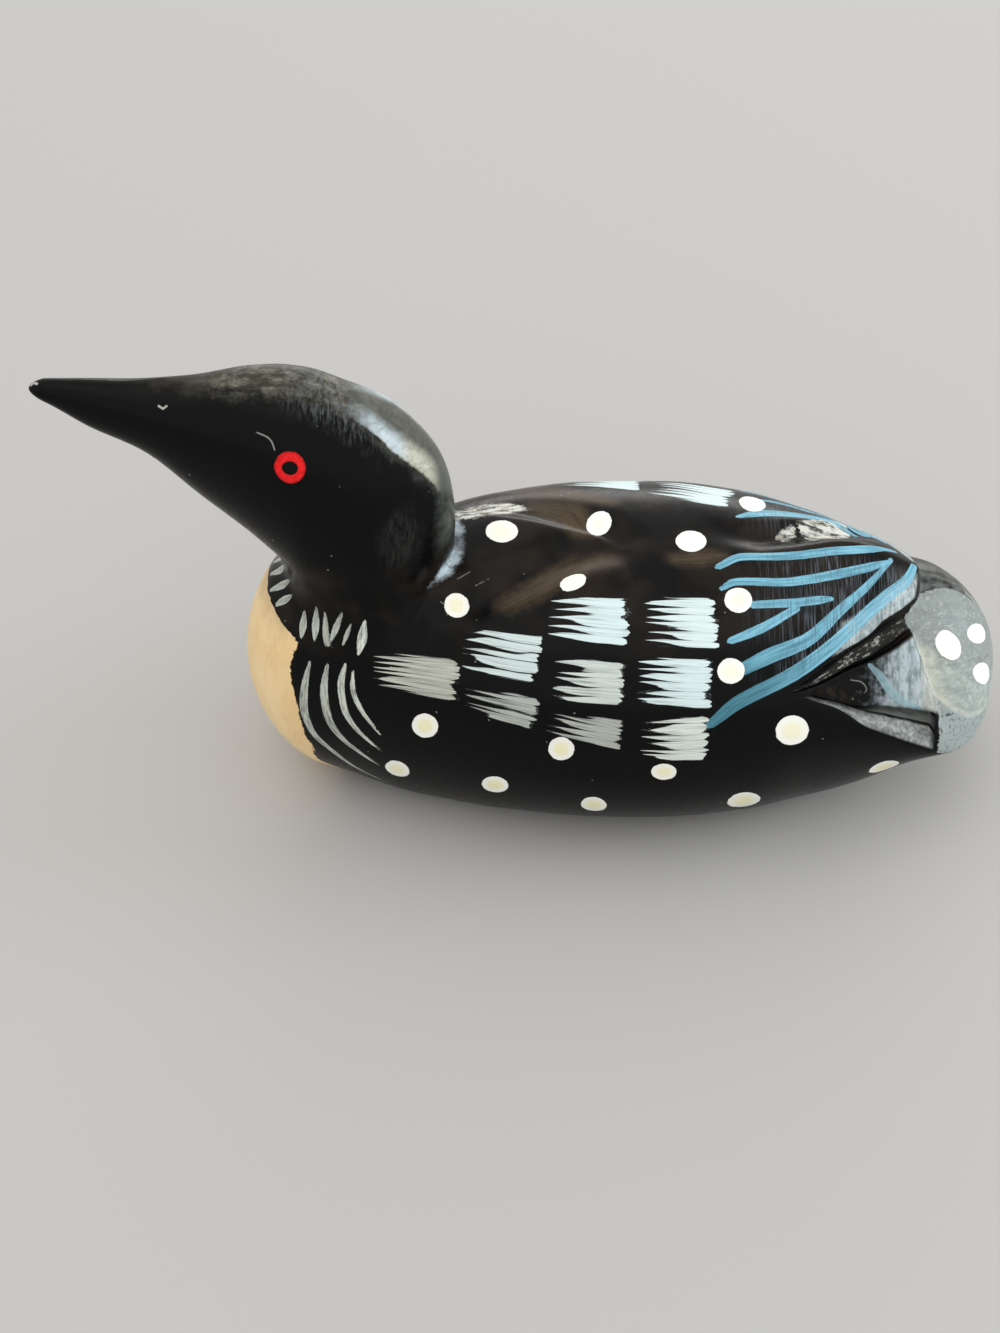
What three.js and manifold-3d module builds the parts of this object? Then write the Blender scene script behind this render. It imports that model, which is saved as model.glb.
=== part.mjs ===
// A small loon carved from one block of wood and painted, resting on its flat underside.
// Millimetres, +Z up. The bill points to -X, the tail to +X, the bird's left side faces -Y.
// The origin is on the underside, at the middle of the bird's length and width.
// The form is a solid found along rays: tall ovals make bill, head and neck, broad ovals make the body,
// the two flow into each other, and the knife cuts of wings, mantle and tail are sunk into the body.
import * as THREE from "three";
import { mergeVertices } from "three/addons/utils/BufferGeometryUtils.js";
import Module from "manifold-3d";

// ---- driving dimensions, mm; "at" counts along the bird, from bill to tail ----
const TIP = 1.3; // "at" of the bill tip
const LENGTH = 114.25; // "at" of the tail end
const X0 = -(LENGTH + TIP) / 2; // puts the middle of the length on the origin

// body: breast front, tail end, and oval sections at stations along it
const BREAST_AT = 22.4;
const BREAST_ROUND = 9.0; // length over which the breast rounds off
const TAIL_ROUND = 10.0; // length over which the tail fan rounds off
const TAIL_SQUARE = 2.5; // above 2 the fan is squarer than an oval, seen from above
const TAIL_SIDE_POWER = 0.6;
const TAIL_TOP_POWER = 0.44;
const BODY = {
  at: [22.4, 33.4, 43.4, 53.4, 63.4, 73.4, 83.4, 91.4, 97.4, 103.4, 108.4, 114.25],
  halfWidth: [9.3, 12.2, 15.4, 18.4, 20.1, 20.7, 19.65, 17.5, 16.1, 15.2, 14.6, 12.4],
  top: [32.5, 33.8, 34.3, 35.3, 35.7, 35.3, 35.2, 35.1, 33.8, 30.5, 28.2, 27.2],
  widestZ: [16.7, 16.8, 16.5, 16.3, 16.2, 16.4, 17.0, 18.4, 18.2, 15.8, 13.8, 12.8],
  keelZ: [3.0, 0.1, -3.0, -3.4, -3.4, -3.0, -2.5, -1.8, 0.2, 6.4, 11.4, 12.3],
  roofPower: [2.0, 2.1, 2.2, 2.4, 2.5, 2.5, 2.2, 1.68, 1.4, 1.36, 1.48, 1.6],
};

// bill, head and neck: upright ovals; the neck is the lower part of the ovals behind the throat
const NAPE_AT = 48.2;
const CROWN_AT = 30.9; // where the crown starts to fall towards the nape
const CHEEK_AT = 38.4; // where the cheeks start to round towards the nape
const NAPE_Z = 38.5; // the nape is upright at this height
const BILL_ROUND = 1.6;
const CROWN_SQUARE = 2.15;
const HEAD_POWER = 2.15;
const HEAD = {
  at: [1.3, 3.4, 7.4, 13.4, 19.4, 25.4, 28.4, 31.4, 37.4, 43.4, 48.2],
  halfWidth: [1.0, 1.25, 2.0, 3.15, 4.9, 6.9, 7.8, 8.65, 9.3, 9.2, 9.0],
  top: [58.2, 58.6, 58.5, 58.2, 58.4, 59.15, 59.25, 58.9, 57.5, 57.2, 59.0],
  chin: [56.9, 55.6, 52.65, 49.3, 43.2, 37.3, 33.5, 27.2, 18.0, 16.0, 16.0],
};
const THROAT_BLEND = 5.5; // softness of the joint between neck and breast
const NAPE_BLEND = 1.0; // the joint is a cut crease behind the neck
const CREASE_FROM = 46.4;
const CREASE_TO = 39.4;

// knife cuts in the body, the same on both sides, each along [at, degrees from the crest, depth];
// "steep" is the width of the wall beside the cut, "ramp" the width of the slope on its other side,
// and "power" bends that slope: above 1 it levels out early, below 1 it stays deep
const DEGREE = 0.3; // length of one degree on the flank
const CUTS = {
  wing: { // under the rear edge of the wing
    line: [[86.0, 62.3, 0.0], [88.8, 62.0, 0.5], [91.2, 58.2, 0.9], [93.5, 52.0, 1.0], [95.4, 46.8, 1.0], [97.3, 41.2, 1.0], [98.6, 36.9, 1.0], [100.4, 30.0, 0.95], [101.4, 26.0, 0.6]],
    steep: 0.7, ramp: 3.4, power: 1.3,
  },
  slot: { // slot under the lower feathers, down to the edge of the hull
    line: [[88.0, 65.2, 0.0], [90.7, 68.9, 0.6], [92.4, 71.6, 1.0], [95.5, 76.2, 1.4], [99.5, 77.5, 1.5], [102.3, 76.0, 1.5], [104.6, 75.2, 1.3]],
    steep: 0.5, ramp: 3.6, power: 0.7,
  },
  tail: { // step from wing tips and lower feathers down to the tail
    line: [[103.2, 0.0, 0.8], [102.6, 14.7, 0.8], [101.2, 24.5, 0.8], [100.9, 31.0, 0.8], [102.2, 40.7, 0.8], [103.4, 54.9, 0.8], [104.8, 69.1, 0.8], [105.3, 78.0, 0.3]],
    steep: 0.5, ramp: 5.5, power: 1.5,
  },
};
// gouged hollows, along [at, degrees from the crest with the left side negative, depth], with the
// widths of their two slopes: two part the back from the wings' front edges and meet behind the
// shoulders, a little left of the crest, and one parts the wings towards the tail
const HOLLOWS = [
  { line: [[45.5, -35.0, 0.0], [49.5, -29.0, 0.7], [53.4, -23.0, 1.0], [58.0, -15.2, 1.1], [63.0, -8.8, 1.0], [67.0, -6.6, 0.75], [70.4, -7.0, 0.0]], left: 3.6, right: 4.8 },
  { line: [[45.5, 30.0, 0.0], [49.5, 23.0, 0.5], [54.0, 17.5, 0.5], [58.0, 12.6, 0.45], [62.0, 7.0, 0.55], [65.4, 2.6, 0.75], [67.6, -3.0, 0.75], [70.0, -7.0, 0.0]], left: 1.7, right: 4.5 },
  { line: [[76.5, 8.0, 0.0], [80.0, 4.6, 0.45], [84.0, 2.6, 0.9], [87.0, 4.6, 1.1], [90.0, 7.4, 1.35], [93.0, 10.8, 1.35], [96.3, 17.0, 0.7], [98.0, 21.0, 0.0]], left: 3.6, right: 2.4 },
];

// facets: rows of them run along the two long cuts, so each cut keeps a clean edge
const STEP_BODY = 2.1;
const STEP_REAR = 0.9;
const STEP_BILL = 1.9;
const FAN_NAPE = 12;
const FAN_THROAT = 11;
const REAR_FROM = 84.5;
const ROWS = { crestToWing: 8, wingWall: 1, wingRamp: 2, feather: 1, slotWall: 1, slotRamp: 2, flank: 12 };
const WALL_DEG = 2.2;
const WING_RAMP_DEG = 8.0;
const SLOT_RAMP_DEG = 10.0;

// ---- small helpers ----
const clamp = (v, a, b) => Math.min(b, Math.max(a, v));
const smooth = (a, b, v) => {
  const t = clamp((v - a) / (b - a), 0, 1);
  return t * t * (3 - 2 * t);
};
// a curve through stations that never overshoots them
function through(xs, ys) {
  const n = xs.length;
  const h = xs.slice(1).map((x, i) => x - xs[i]);
  const d = h.map((w, i) => (ys[i + 1] - ys[i]) / w);
  const m = new Array(n).fill(0);
  for (let i = 1; i < n - 1; i++)
    if (d[i - 1] * d[i] > 0) {
      const a = 2 * h[i] + h[i - 1];
      const b = h[i] + 2 * h[i - 1];
      m[i] = (a + b) / (a / d[i - 1] + b / d[i]);
    }
  m[0] = d[0];
  m[n - 1] = d[n - 2];
  return (x0) => {
    const x = clamp(x0, xs[0], xs[n - 1]);
    let i = 0;
    while (i < n - 2 && x >= xs[i + 1]) i++;
    const t = (x - xs[i]) / h[i];
    const t2 = t * t;
    const t3 = t2 * t;
    return (
      (2 * t3 - 3 * t2 + 1) * ys[i] + (t3 - 2 * t2 + t) * h[i] * m[i] +
      (3 * t2 - 2 * t3) * ys[i + 1] + (t3 - t2) * h[i] * m[i + 1]
    );
  };
}
const bodyCurve = Object.fromEntries(
  Object.keys(BODY).filter((k) => k !== "at").map((k) => [k, through(BODY.at, BODY[k])]),
);
const headCurve = Object.fromEntries(
  Object.keys(HEAD).filter((k) => k !== "at").map((k) => [k, through(HEAD.at, HEAD[k])]),
);
const smoothMin = (a, b, k) => {
  const h = clamp(0.5 + (0.5 * (b - a)) / k, 0, 1);
  return b * (1 - h) + a * h - k * h * (1 - h);
};

// depth of a knife cut at a point of the body given by "at" and degrees from the crest
function cutDepth(cut, at, deg) {
  let best = Infinity;
  let depth = 0;
  let side = 1;
  for (let i = 0; i < cut.line.length - 1; i++) {
    const [a0, g0, d0] = cut.line[i];
    const [a1, g1, d1] = cut.line[i + 1];
    const ux = a1 - a0;
    const uy = (g1 - g0) * DEGREE;
    const px = at - a0;
    const py = (deg - g0) * DEGREE;
    const t = clamp((px * ux + py * uy) / (ux * ux + uy * uy), 0, 1);
    const dist = Math.hypot(px - t * ux, py - t * uy);
    if (dist < best) {
      best = dist;
      depth = d0 + t * (d1 - d0);
      side = Math.sign(ux * py - uy * px) || 1;
    }
  }
  return { dist: best, depth, side };
}
function relief(at, deg, y) {
  let h = 0;
  for (const [name, cut] of Object.entries(CUTS)) {
    const { dist, depth, side } = cutDepth(cut, at, deg);
    // the steep wall is towards the crest; on the tail step it is towards the breast
    const below = name === "tail" ? side < 0 : side > 0;
    const t = Math.min(dist / (below ? cut.ramp : cut.steep), 1);
    h = Math.min(h, -depth * (below ? Math.pow(1 - t, cut.power) : 1 - t));
  }
  for (const hollow of HOLLOWS) {
    const { dist, depth, side } = cutDepth(hollow, at, y < 0 ? -deg : deg);
    h = Math.min(h, -depth * (1 - smooth(0, side > 0 ? hollow.right : hollow.left, dist)));
  }
  return h;
}

// signed, roughly in mm, negative inside
function bodyField(at, y, z) {
  const u = clamp((BREAST_AT + BREAST_ROUND - at) / BREAST_ROUND, 0, 1);
  const v = clamp((at - (LENGTH - TAIL_ROUND)) / TAIL_ROUND, 0, 1);
  const front = Math.sqrt(Math.max(1 - u * u, 1e-6));
  const c = front * Math.pow(Math.max(1 - Math.pow(v, TAIL_SQUARE), 1e-6), TAIL_SIDE_POWER);
  const cUp = front * Math.pow(Math.max(1 - v * v, 1e-6), TAIL_TOP_POWER);
  const mid = bodyCurve.widestZ(at);
  const w = Math.max(bodyCurve.halfWidth(at) * c, 0.05);
  const up = Math.max((bodyCurve.top(at) - mid) * cUp, 0.05);
  const down = Math.max((mid - bodyCurve.keelZ(at)) * c, 0.05);
  const dz = z - mid;
  const r = Math.max(Math.hypot(y, dz), 1e-6);
  const n = dz >= 0 ? bodyCurve.roofPower(at) : 2;
  const radius = Math.pow(
    Math.pow(Math.abs(y) / r / w, n) + Math.pow(Math.abs(dz) / r / (dz >= 0 ? up : down), n),
    -1 / n,
  );
  const deg = (Math.atan2(Math.abs(y), dz) * 180) / Math.PI;
  const f = r - radius - relief(at, deg, y);
  const out = Math.max(at - LENGTH, BREAST_AT - at);
  return out > 0 ? Math.max(f, out) : f;
}
function headField(at, y, z) {
  const u = clamp((at - CROWN_AT) / (NAPE_AT - CROWN_AT), 0, 1);
  const v = clamp((at - CHEEK_AT) / (NAPE_AT - CHEEK_AT), 0, 1);
  const t = clamp((TIP + BILL_ROUND - at) / BILL_ROUND, 0, 1);
  const cBack = Math.sqrt(Math.max(1 - Math.pow(u, CROWN_SQUARE), 1e-6));
  const cSide = Math.sqrt(Math.max(1 - v * v, 1e-6));
  const cTip = Math.sqrt(Math.max(1 - t * t, 1e-6));
  const top = NAPE_Z + (headCurve.top(at) - NAPE_Z) * cBack;
  const low = NAPE_Z + (headCurve.chin(at) - NAPE_Z) * (at > CHEEK_AT ? cSide : 1);
  const w = Math.max(headCurve.halfWidth(at) * cSide * cTip, 0.03);
  const m = (top + low) / 2;
  const h = Math.max(((top - low) / 2) * cTip, 0.03);
  const r = Math.hypot(y, z - m);
  const q = Math.pow(
    Math.pow(Math.abs(y) / w, HEAD_POWER) + Math.pow(Math.abs(z - m) / h, HEAD_POWER),
    1 / HEAD_POWER,
  );
  const f = r < 1e-6 ? -Math.min(w, h) : r * (1 - 1 / Math.max(q, 1e-3));
  const out = Math.max(at - NAPE_AT, TIP - at);
  return out > 0 ? Math.max(f, out) : f;
}
function field(at, y, z) {
  const k = NAPE_BLEND + (THROAT_BLEND - NAPE_BLEND) * smooth(CREASE_FROM, CREASE_TO, at);
  return smoothMin(bodyField(at, y, z), headField(at, y, z), k);
}

// ---- section planes, tail to bill: centre (at, z), direction of "up", width to height of the section ----
const planes = [];
const upright = (at, z, aspect) => planes.push({ at, z, ua: 0, uz: 1, aspect });
for (const back of [0.02, 0.12, 0.45, 1.0, 1.9, 3.0, 4.2])
  upright(LENGTH - back, bodyCurve.widestZ(LENGTH - back), 1.7);
const rearEnd = LENGTH - 5.3;
for (let a = rearEnd; a > REAR_FROM; a -= STEP_REAR) upright(a, bodyCurve.widestZ(a), 1.25);
const fanAt = 51.0; // the first fan turns about a point in the air behind the nape
const fanZ = 37.6;
const bodySteps = Math.round((REAR_FROM - fanAt) / STEP_BODY);
for (let i = 0; i <= bodySteps; i++) {
  const a = REAR_FROM + ((fanAt - REAR_FROM) * i) / bodySteps;
  upright(a, bodyCurve.widestZ(a), 1.1);
}
for (let i = 1; i <= FAN_NAPE; i++) {
  const t = i / FAN_NAPE;
  const q = (t * Math.PI) / 2;
  const len = 21.3 * (1 - t) + 14.5 * t;
  planes.push({ at: fanAt - Math.sin(q) * len, z: fanZ - Math.cos(q) * len, ua: Math.sin(q), uz: Math.cos(q), aspect: 1.1 - 0.35 * t });
}
const chinAt = 22.0; // the second fan turns about a point in the air under the chin
for (let i = 1; i <= FAN_THROAT; i++) {
  const t = i / FAN_THROAT;
  const q = (t * Math.PI) / 2;
  const len = 14.5 * (1 - t) + 11.5 * t;
  planes.push({ at: chinAt + Math.cos(q) * len, z: fanZ + Math.sin(q) * len, ua: Math.cos(q), uz: Math.sin(q), aspect: 0.75 - 0.05 * t });
}
const billSteps = Math.round((chinAt - TIP - 1.6) / STEP_BILL);
const billMid = (a) => (headCurve.top(a) + headCurve.chin(a)) / 2;
for (let i = 1; i <= billSteps; i++) {
  const a = chinAt + ((TIP + 1.6 - chinAt) * i) / billSteps;
  upright(a, billMid(a), 0.75);
}
for (const a of [0.9, 0.4, 0.12, 0.015]) upright(TIP + a, billMid(TIP + a), 0.8);

// ---- rows: angles from "up" on one side; behind the wings' middle they follow the two long cuts ----
const HALF = Object.values(ROWS).reduce((a, b) => a + b, 0);
const AROUND = 2 * HALF;
const wingCut = through(CUTS.wing.line.map((p) => p[0]), CUTS.wing.line.map((p) => p[1]));
const slotCut = through(CUTS.slot.line.map((p) => p[0]), CUTS.slot.line.map((p) => p[1]));
function rowAngles(p) {
  const even = [];
  for (let j = 0; j <= HALF; j++) {
    const a = (Math.PI * j) / HALF;
    even.push(Math.atan2(Math.sin(a) * p.aspect, Math.cos(a)));
  }
  const w = p.ua === 0 ? smooth(78, REAR_FROM + 1, p.at) : 0;
  if (w === 0) return even;
  const wing = wingCut(p.at);
  const slot = Math.max(slotCut(p.at), wing + WING_RAMP_DEG * 0.35 + WALL_DEG);
  const ramp = Math.min(WING_RAMP_DEG, (slot - WALL_DEG - wing) * 0.7);
  const keys = [0, wing - WALL_DEG, wing, wing + ramp, slot - WALL_DEG, slot, slot + SLOT_RAMP_DEG, 180];
  const rows = [0];
  Object.values(ROWS).forEach((n, i) => {
    for (let k = 1; k <= n; k++) rows.push(keys[i] + ((keys[i + 1] - keys[i]) * k) / n);
  });
  return rows.map((d, j) => even[j] * (1 - w) + ((d * Math.PI) / 180) * w);
}

// ---- surface points: march each ray outwards, then halve the step onto the surface ----
function surfacePoint(p, angle) {
  const dy = Math.sin(angle);
  const du = Math.cos(angle);
  const at = (s) => field(p.at + du * p.ua * s, dy * s, p.z + du * p.uz * s);
  let hi = 0.05;
  while (at(hi) < 0 && hi < 60) hi += 0.3;
  let lo = Math.max(0, hi - 0.3);
  for (let i = 0; i < 26; i++) {
    const m = (lo + hi) / 2;
    if (at(m) < 0) lo = m;
    else hi = m;
  }
  return [p.at + du * p.ua * lo + X0, dy * lo, p.z + du * p.uz * lo];
}
const vertices = [];
const faces = [];
for (const p of planes) {
  const rows = rowAngles(p);
  for (let j = 0; j < AROUND; j++)
    vertices.push(...surfacePoint(p, j <= HALF ? rows[j] : -rows[AROUND - j]));
}
for (let i = 0; i < planes.length - 1; i++)
  for (let j = 0; j < AROUND; j++) {
    const k = (j + 1) % AROUND;
    const a = i * AROUND + j;
    const b = i * AROUND + k;
    const c = a + AROUND;
    const d = b + AROUND;
    const P = (v) => new THREE.Vector3().fromArray(vertices, 3 * v);
    // the shorter diagonal keeps the facets even
    if (P(a).distanceTo(P(d)) < P(b).distanceTo(P(c))) faces.push(a, b, d, a, d, c);
    else faces.push(a, b, c, b, d, c);
  }
const first = planes[0];
const last = planes[planes.length - 1];
const tailPole = vertices.length / 3;
vertices.push(first.at + X0 + 0.01, 0, first.z);
const billPole = tailPole + 1;
vertices.push(last.at + X0 - 0.01, 0, last.z);
for (let j = 0; j < AROUND; j++) {
  const k = (j + 1) % AROUND;
  const base = (planes.length - 1) * AROUND;
  faces.push(tailPole, k, j);
  faces.push(billPole, base + j, base + k);
}
const rough = new THREE.BufferGeometry();
rough.setAttribute("position", new THREE.Float32BufferAttribute(vertices, 3));
rough.setIndex(faces);

// ---- the flat underside is cut with one large block ----
const wasm = await Module();
wasm.setup();
function solid(geometry) {
  const g = geometry.index ? geometry.toNonIndexed() : geometry.clone();
  g.deleteAttribute("normal");
  g.deleteAttribute("uv");
  const m = mergeVertices(g, 1e-4);
  return new wasm.Manifold(
    new wasm.Mesh({ numProp: 3, vertProperties: m.attributes.position.array, triVerts: new Uint32Array(m.index.array) }),
  );
}
const block = new THREE.BoxGeometry(2 * LENGTH, 80, 20);
block.translate(0, 0, -10);
const cut = solid(rough).subtract(solid(block)).getMesh();
const geometry = new THREE.BufferGeometry();
const positions = new Float32Array(cut.numVert * 3);
for (let i = 0; i < cut.numVert; i++)
  positions.set(cut.vertProperties.subarray(i * cut.numProp, i * cut.numProp + 3), i * 3);
geometry.setAttribute("position", new THREE.BufferAttribute(positions, 3));
geometry.setIndex(new THREE.BufferAttribute(new Uint32Array(cut.triVerts), 1));
geometry.computeVertexNormals();

const blackPaint = new THREE.MeshStandardMaterial({ color: 0x0f0e0d, roughness: 0.32, metalness: 0 });
const loon = new THREE.Mesh(geometry, blackPaint);
loon.name = "carved_loon";

const part = new THREE.Group();
part.add(loon);
export default part;
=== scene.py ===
"""A small carved and painted loon: the fine carved surface, its paint, a plain floor, soft light, camera."""

import math

import bpy
import numpy as np
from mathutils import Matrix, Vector


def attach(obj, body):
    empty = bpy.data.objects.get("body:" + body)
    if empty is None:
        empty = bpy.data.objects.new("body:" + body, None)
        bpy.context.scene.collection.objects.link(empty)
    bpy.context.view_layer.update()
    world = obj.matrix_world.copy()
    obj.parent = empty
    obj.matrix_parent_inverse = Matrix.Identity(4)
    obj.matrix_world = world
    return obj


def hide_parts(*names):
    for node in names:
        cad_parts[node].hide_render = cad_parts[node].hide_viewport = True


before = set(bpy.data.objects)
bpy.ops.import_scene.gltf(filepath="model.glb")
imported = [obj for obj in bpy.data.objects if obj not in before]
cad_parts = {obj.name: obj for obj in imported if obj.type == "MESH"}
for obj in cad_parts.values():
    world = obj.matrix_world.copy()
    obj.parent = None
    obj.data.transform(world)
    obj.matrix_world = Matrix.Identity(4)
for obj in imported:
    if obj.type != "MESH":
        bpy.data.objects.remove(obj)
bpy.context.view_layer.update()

# ---------------------------------------------------------------------------------------------
# The form, in millimetres: the same ovals as the solid, cut finer. "at" counts along the bird.
# ---------------------------------------------------------------------------------------------
LENGTH = 114.25  # "at" of the tail end
TIP = 1.3  # "at" of the bill tip
X0 = -(LENGTH + TIP) / 2
BREAST_AT, BREAST_ROUND = 22.4, 9.0
TAIL_ROUND, TAIL_SQUARE, TAIL_SIDE_POWER, TAIL_TOP_POWER = 10.0, 2.5, 0.60, 0.44
BODY_AT = [22.4, 33.4, 43.4, 53.4, 63.4, 73.4, 83.4, 91.4, 97.4, 103.4, 108.4, 114.25]
BODY = dict(
    half=[9.3, 12.2, 15.4, 18.4, 20.1, 20.7, 19.65, 17.5, 16.1, 15.2, 14.6, 12.4],
    top=[32.5, 33.8, 34.3, 35.3, 35.7, 35.3, 35.2, 35.1, 33.8, 30.5, 28.2, 27.2],
    mid=[16.7, 16.8, 16.5, 16.3, 16.2, 16.4, 17.0, 18.4, 18.2, 15.8, 13.8, 12.8],
    keel=[3.0, 0.1, -3.0, -3.4, -3.4, -3.0, -2.5, -1.8, 0.2, 6.4, 11.4, 12.3],
    roof=[2.0, 2.1, 2.2, 2.4, 2.5, 2.5, 2.2, 1.68, 1.4, 1.36, 1.48, 1.6],
)
NAPE_AT, CROWN_AT, CHEEK_AT, NAPE_Z = 48.2, 30.9, 38.4, 38.5
BILL_ROUND, HEAD_POWER, CROWN_SQUARE = 1.6, 2.15, 2.15
HEAD_AT = [1.3, 3.4, 7.4, 13.4, 19.4, 25.4, 28.4, 31.4, 37.4, 43.4, 48.2]
HEAD = dict(
    half=[1.0, 1.25, 2.0, 3.15, 4.9, 6.9, 7.8, 8.65, 9.3, 9.2, 9.0],
    top=[58.2, 58.6, 58.5, 58.2, 58.4, 59.15, 59.25, 58.9, 57.5, 57.2, 59.0],
    chin=[56.9, 55.6, 52.65, 49.3, 43.2, 37.3, 33.5, 27.2, 18.0, 16.0, 16.0],
)
THROAT_BLEND, NAPE_BLEND = 5.5, 1.0
CREASE_FROM, CREASE_TO = 46.4, 39.4


def smooth(a, b, v):
    t = np.clip((v - a) / (b - a), 0.0, 1.0)
    return t * t * (3.0 - 2.0 * t)


def through(xs, ys):
    """a curve through stations that never overshoots them"""
    xs, ys = np.asarray(xs, float), np.asarray(ys, float)
    h = np.diff(xs)
    d = np.diff(ys) / h
    m = np.zeros(len(xs))
    for i in range(1, len(xs) - 1):
        if d[i - 1] * d[i] > 0:
            a, b = 2 * h[i] + h[i - 1], h[i] + 2 * h[i - 1]
            m[i] = (a + b) / (a / d[i - 1] + b / d[i])
    m[0], m[-1] = d[0], d[-1]

    def curve(x0):
        x = np.clip(x0, xs[0], xs[-1])
        i = np.clip(np.searchsorted(xs, x, side="right") - 1, 0, len(xs) - 2)
        t = (x - xs[i]) / h[i]
        t2, t3 = t * t, t * t * t
        return ((2 * t3 - 3 * t2 + 1) * ys[i] + (t3 - 2 * t2 + t) * h[i] * m[i]
                + (3 * t2 - 2 * t3) * ys[i + 1] + (t3 - t2) * h[i] * m[i + 1])

    return curve


body = {k: through(BODY_AT, v) for k, v in BODY.items()}
head = {k: through(HEAD_AT, v) for k, v in HEAD.items()}


def smooth_min(a, b, k):
    h = np.clip(0.5 + 0.5 * (b - a) / k, 0, 1)
    return b * (1 - h) + a * h - k * h * (1 - h)


def degrees_from_crest(at, y, z):
    return np.degrees(np.arctan2(np.abs(y), z - body["mid"](at)))


def body_field(at, y, z, relief=None):
    u = np.clip((BREAST_AT + BREAST_ROUND - at) / BREAST_ROUND, 0, 1)
    v = np.clip((at - (LENGTH - TAIL_ROUND)) / TAIL_ROUND, 0, 1)
    front = np.sqrt(np.maximum(1 - u * u, 1e-6))
    c = front * np.maximum(1 - v ** TAIL_SQUARE, 1e-6) ** TAIL_SIDE_POWER
    c_up = front * np.maximum(1 - v * v, 1e-6) ** TAIL_TOP_POWER
    mid = body["mid"](at)
    w = np.maximum(body["half"](at) * c, 0.05)
    up = np.maximum((body["top"](at) - mid) * c_up, 0.05)
    down = np.maximum((mid - body["keel"](at)) * c, 0.05)
    dz = z - mid
    r = np.maximum(np.hypot(y, dz), 1e-6)
    n = np.where(dz >= 0, body["roof"](at), 2.0)
    radius = ((np.abs(y) / r / w) ** n + (np.abs(dz) / r / np.where(dz >= 0, up, down)) ** n) ** (-1 / n)
    f = r - radius
    if relief is not None:
        f = f - relief(at, y, z)
    out = np.maximum(at - LENGTH, BREAST_AT - at)
    return np.where(out > 0, np.maximum(f, out), f)


def head_field(at, y, z):
    u = np.clip((at - CROWN_AT) / (NAPE_AT - CROWN_AT), 0, 1)
    v = np.clip((at - CHEEK_AT) / (NAPE_AT - CHEEK_AT), 0, 1)
    t = np.clip((TIP + BILL_ROUND - at) / BILL_ROUND, 0, 1)
    c_back = np.sqrt(np.maximum(1 - u ** CROWN_SQUARE, 1e-6))
    c_side = np.sqrt(np.maximum(1 - v * v, 1e-6))
    c_tip = np.sqrt(np.maximum(1 - t * t, 1e-6))
    top = NAPE_Z + (head["top"](at) - NAPE_Z) * c_back
    low = NAPE_Z + (head["chin"](at) - NAPE_Z) * np.where(at > CHEEK_AT, c_side, 1.0)
    w = np.maximum(head["half"](at) * c_side * c_tip, 0.03)
    m = (top + low) / 2
    h = np.maximum((top - low) / 2 * c_tip, 0.03)
    r = np.hypot(y, z - m)
    q = ((np.abs(y) / w) ** HEAD_POWER + (np.abs(z - m) / h) ** HEAD_POWER) ** (1 / HEAD_POWER)
    f = np.where(r < 1e-6, -np.minimum(w, h), r * (1 - 1 / np.maximum(q, 1e-3)))
    out = np.maximum(at - NAPE_AT, TIP - at)
    return np.where(out > 0, np.maximum(f, out), f)


def base_field(at, y, z, relief=None, head_relief=None):
    k = NAPE_BLEND + (THROAT_BLEND - NAPE_BLEND) * smooth(CREASE_FROM, CREASE_TO, at)
    f = head_field(at, y, z)
    if head_relief is not None:
        f = f - head_relief(at, y, z)
    return smooth_min(body_field(at, y, z, relief), f, k)


# ---------------------------------------------------------------------------------------------
# The knife cuts. Curves of degrees from the crest over "at"; heights in mm.
# ---------------------------------------------------------------------------------------------
# under the rear edge of the wing: wall, rough band, second wall, then the plate of lower feathers
WING_EDGE = through([78, 84, 85.6, 88, 90.9, 93.5, 96.3, 98.1, 100.5, 101.3, 103.5],
                    [62.0, 62.0, 61.5, 60.2, 55.2, 49.7, 43.1, 35.5, 26.4, 22.7, 13.0])
BAND_TOP = through([78, 84, 86, 88.8, 91.2, 93.5, 95.4, 97.3, 98.6, 100.4, 101.3, 103.5],
                   [62.4, 62.4, 62.3, 62.0, 58.2, 51.9, 46.8, 41.2, 36.9, 30.0, 26.5, 17.0])
BAND_LOW = through([78, 84, 86, 89.5, 92.4, 94.3, 96.6, 97.6, 99, 100.4, 101.2, 103.5],
                   [62.8, 62.8, 62.8, 62.7, 59.6, 56.0, 52.6, 49.7, 45.0, 38.2, 34.0, 22.0])
PLATE_TOP = through([78, 84, 86, 88.5, 90.4, 93.5, 95.9, 97.5, 99.3, 101.4, 103.5],
                    [63.4, 63.4, 63.4, 63.6, 63.0, 59.2, 56.2, 53.2, 48.0, 38.6, 28.0])
# the slot under that plate, down to the bright ridge on the edge of the hull
PLATE_LOW = through([78, 84, 86, 88.5, 90.7, 92.4, 93.6, 95.5, 97.4, 99.5, 102.3, 104.2, 106.5],
                    [64.2, 64.2, 64.3, 65.0, 68.4, 71.0, 72.6, 74.9, 75.9, 75.7, 73.9, 72.9, 72.0])
HULL_EDGE = through([78, 84, 86, 88.5, 90.2, 92.6, 94.0, 95.5, 97.0, 98.6, 100.3, 102.4, 105.3, 108],
                    [65.0, 65.0, 65.2, 66.6, 69.8, 74.0, 77.6, 82.2, 85.6, 87.8, 89.0, 89.6, 90.7, 91.0])
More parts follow.
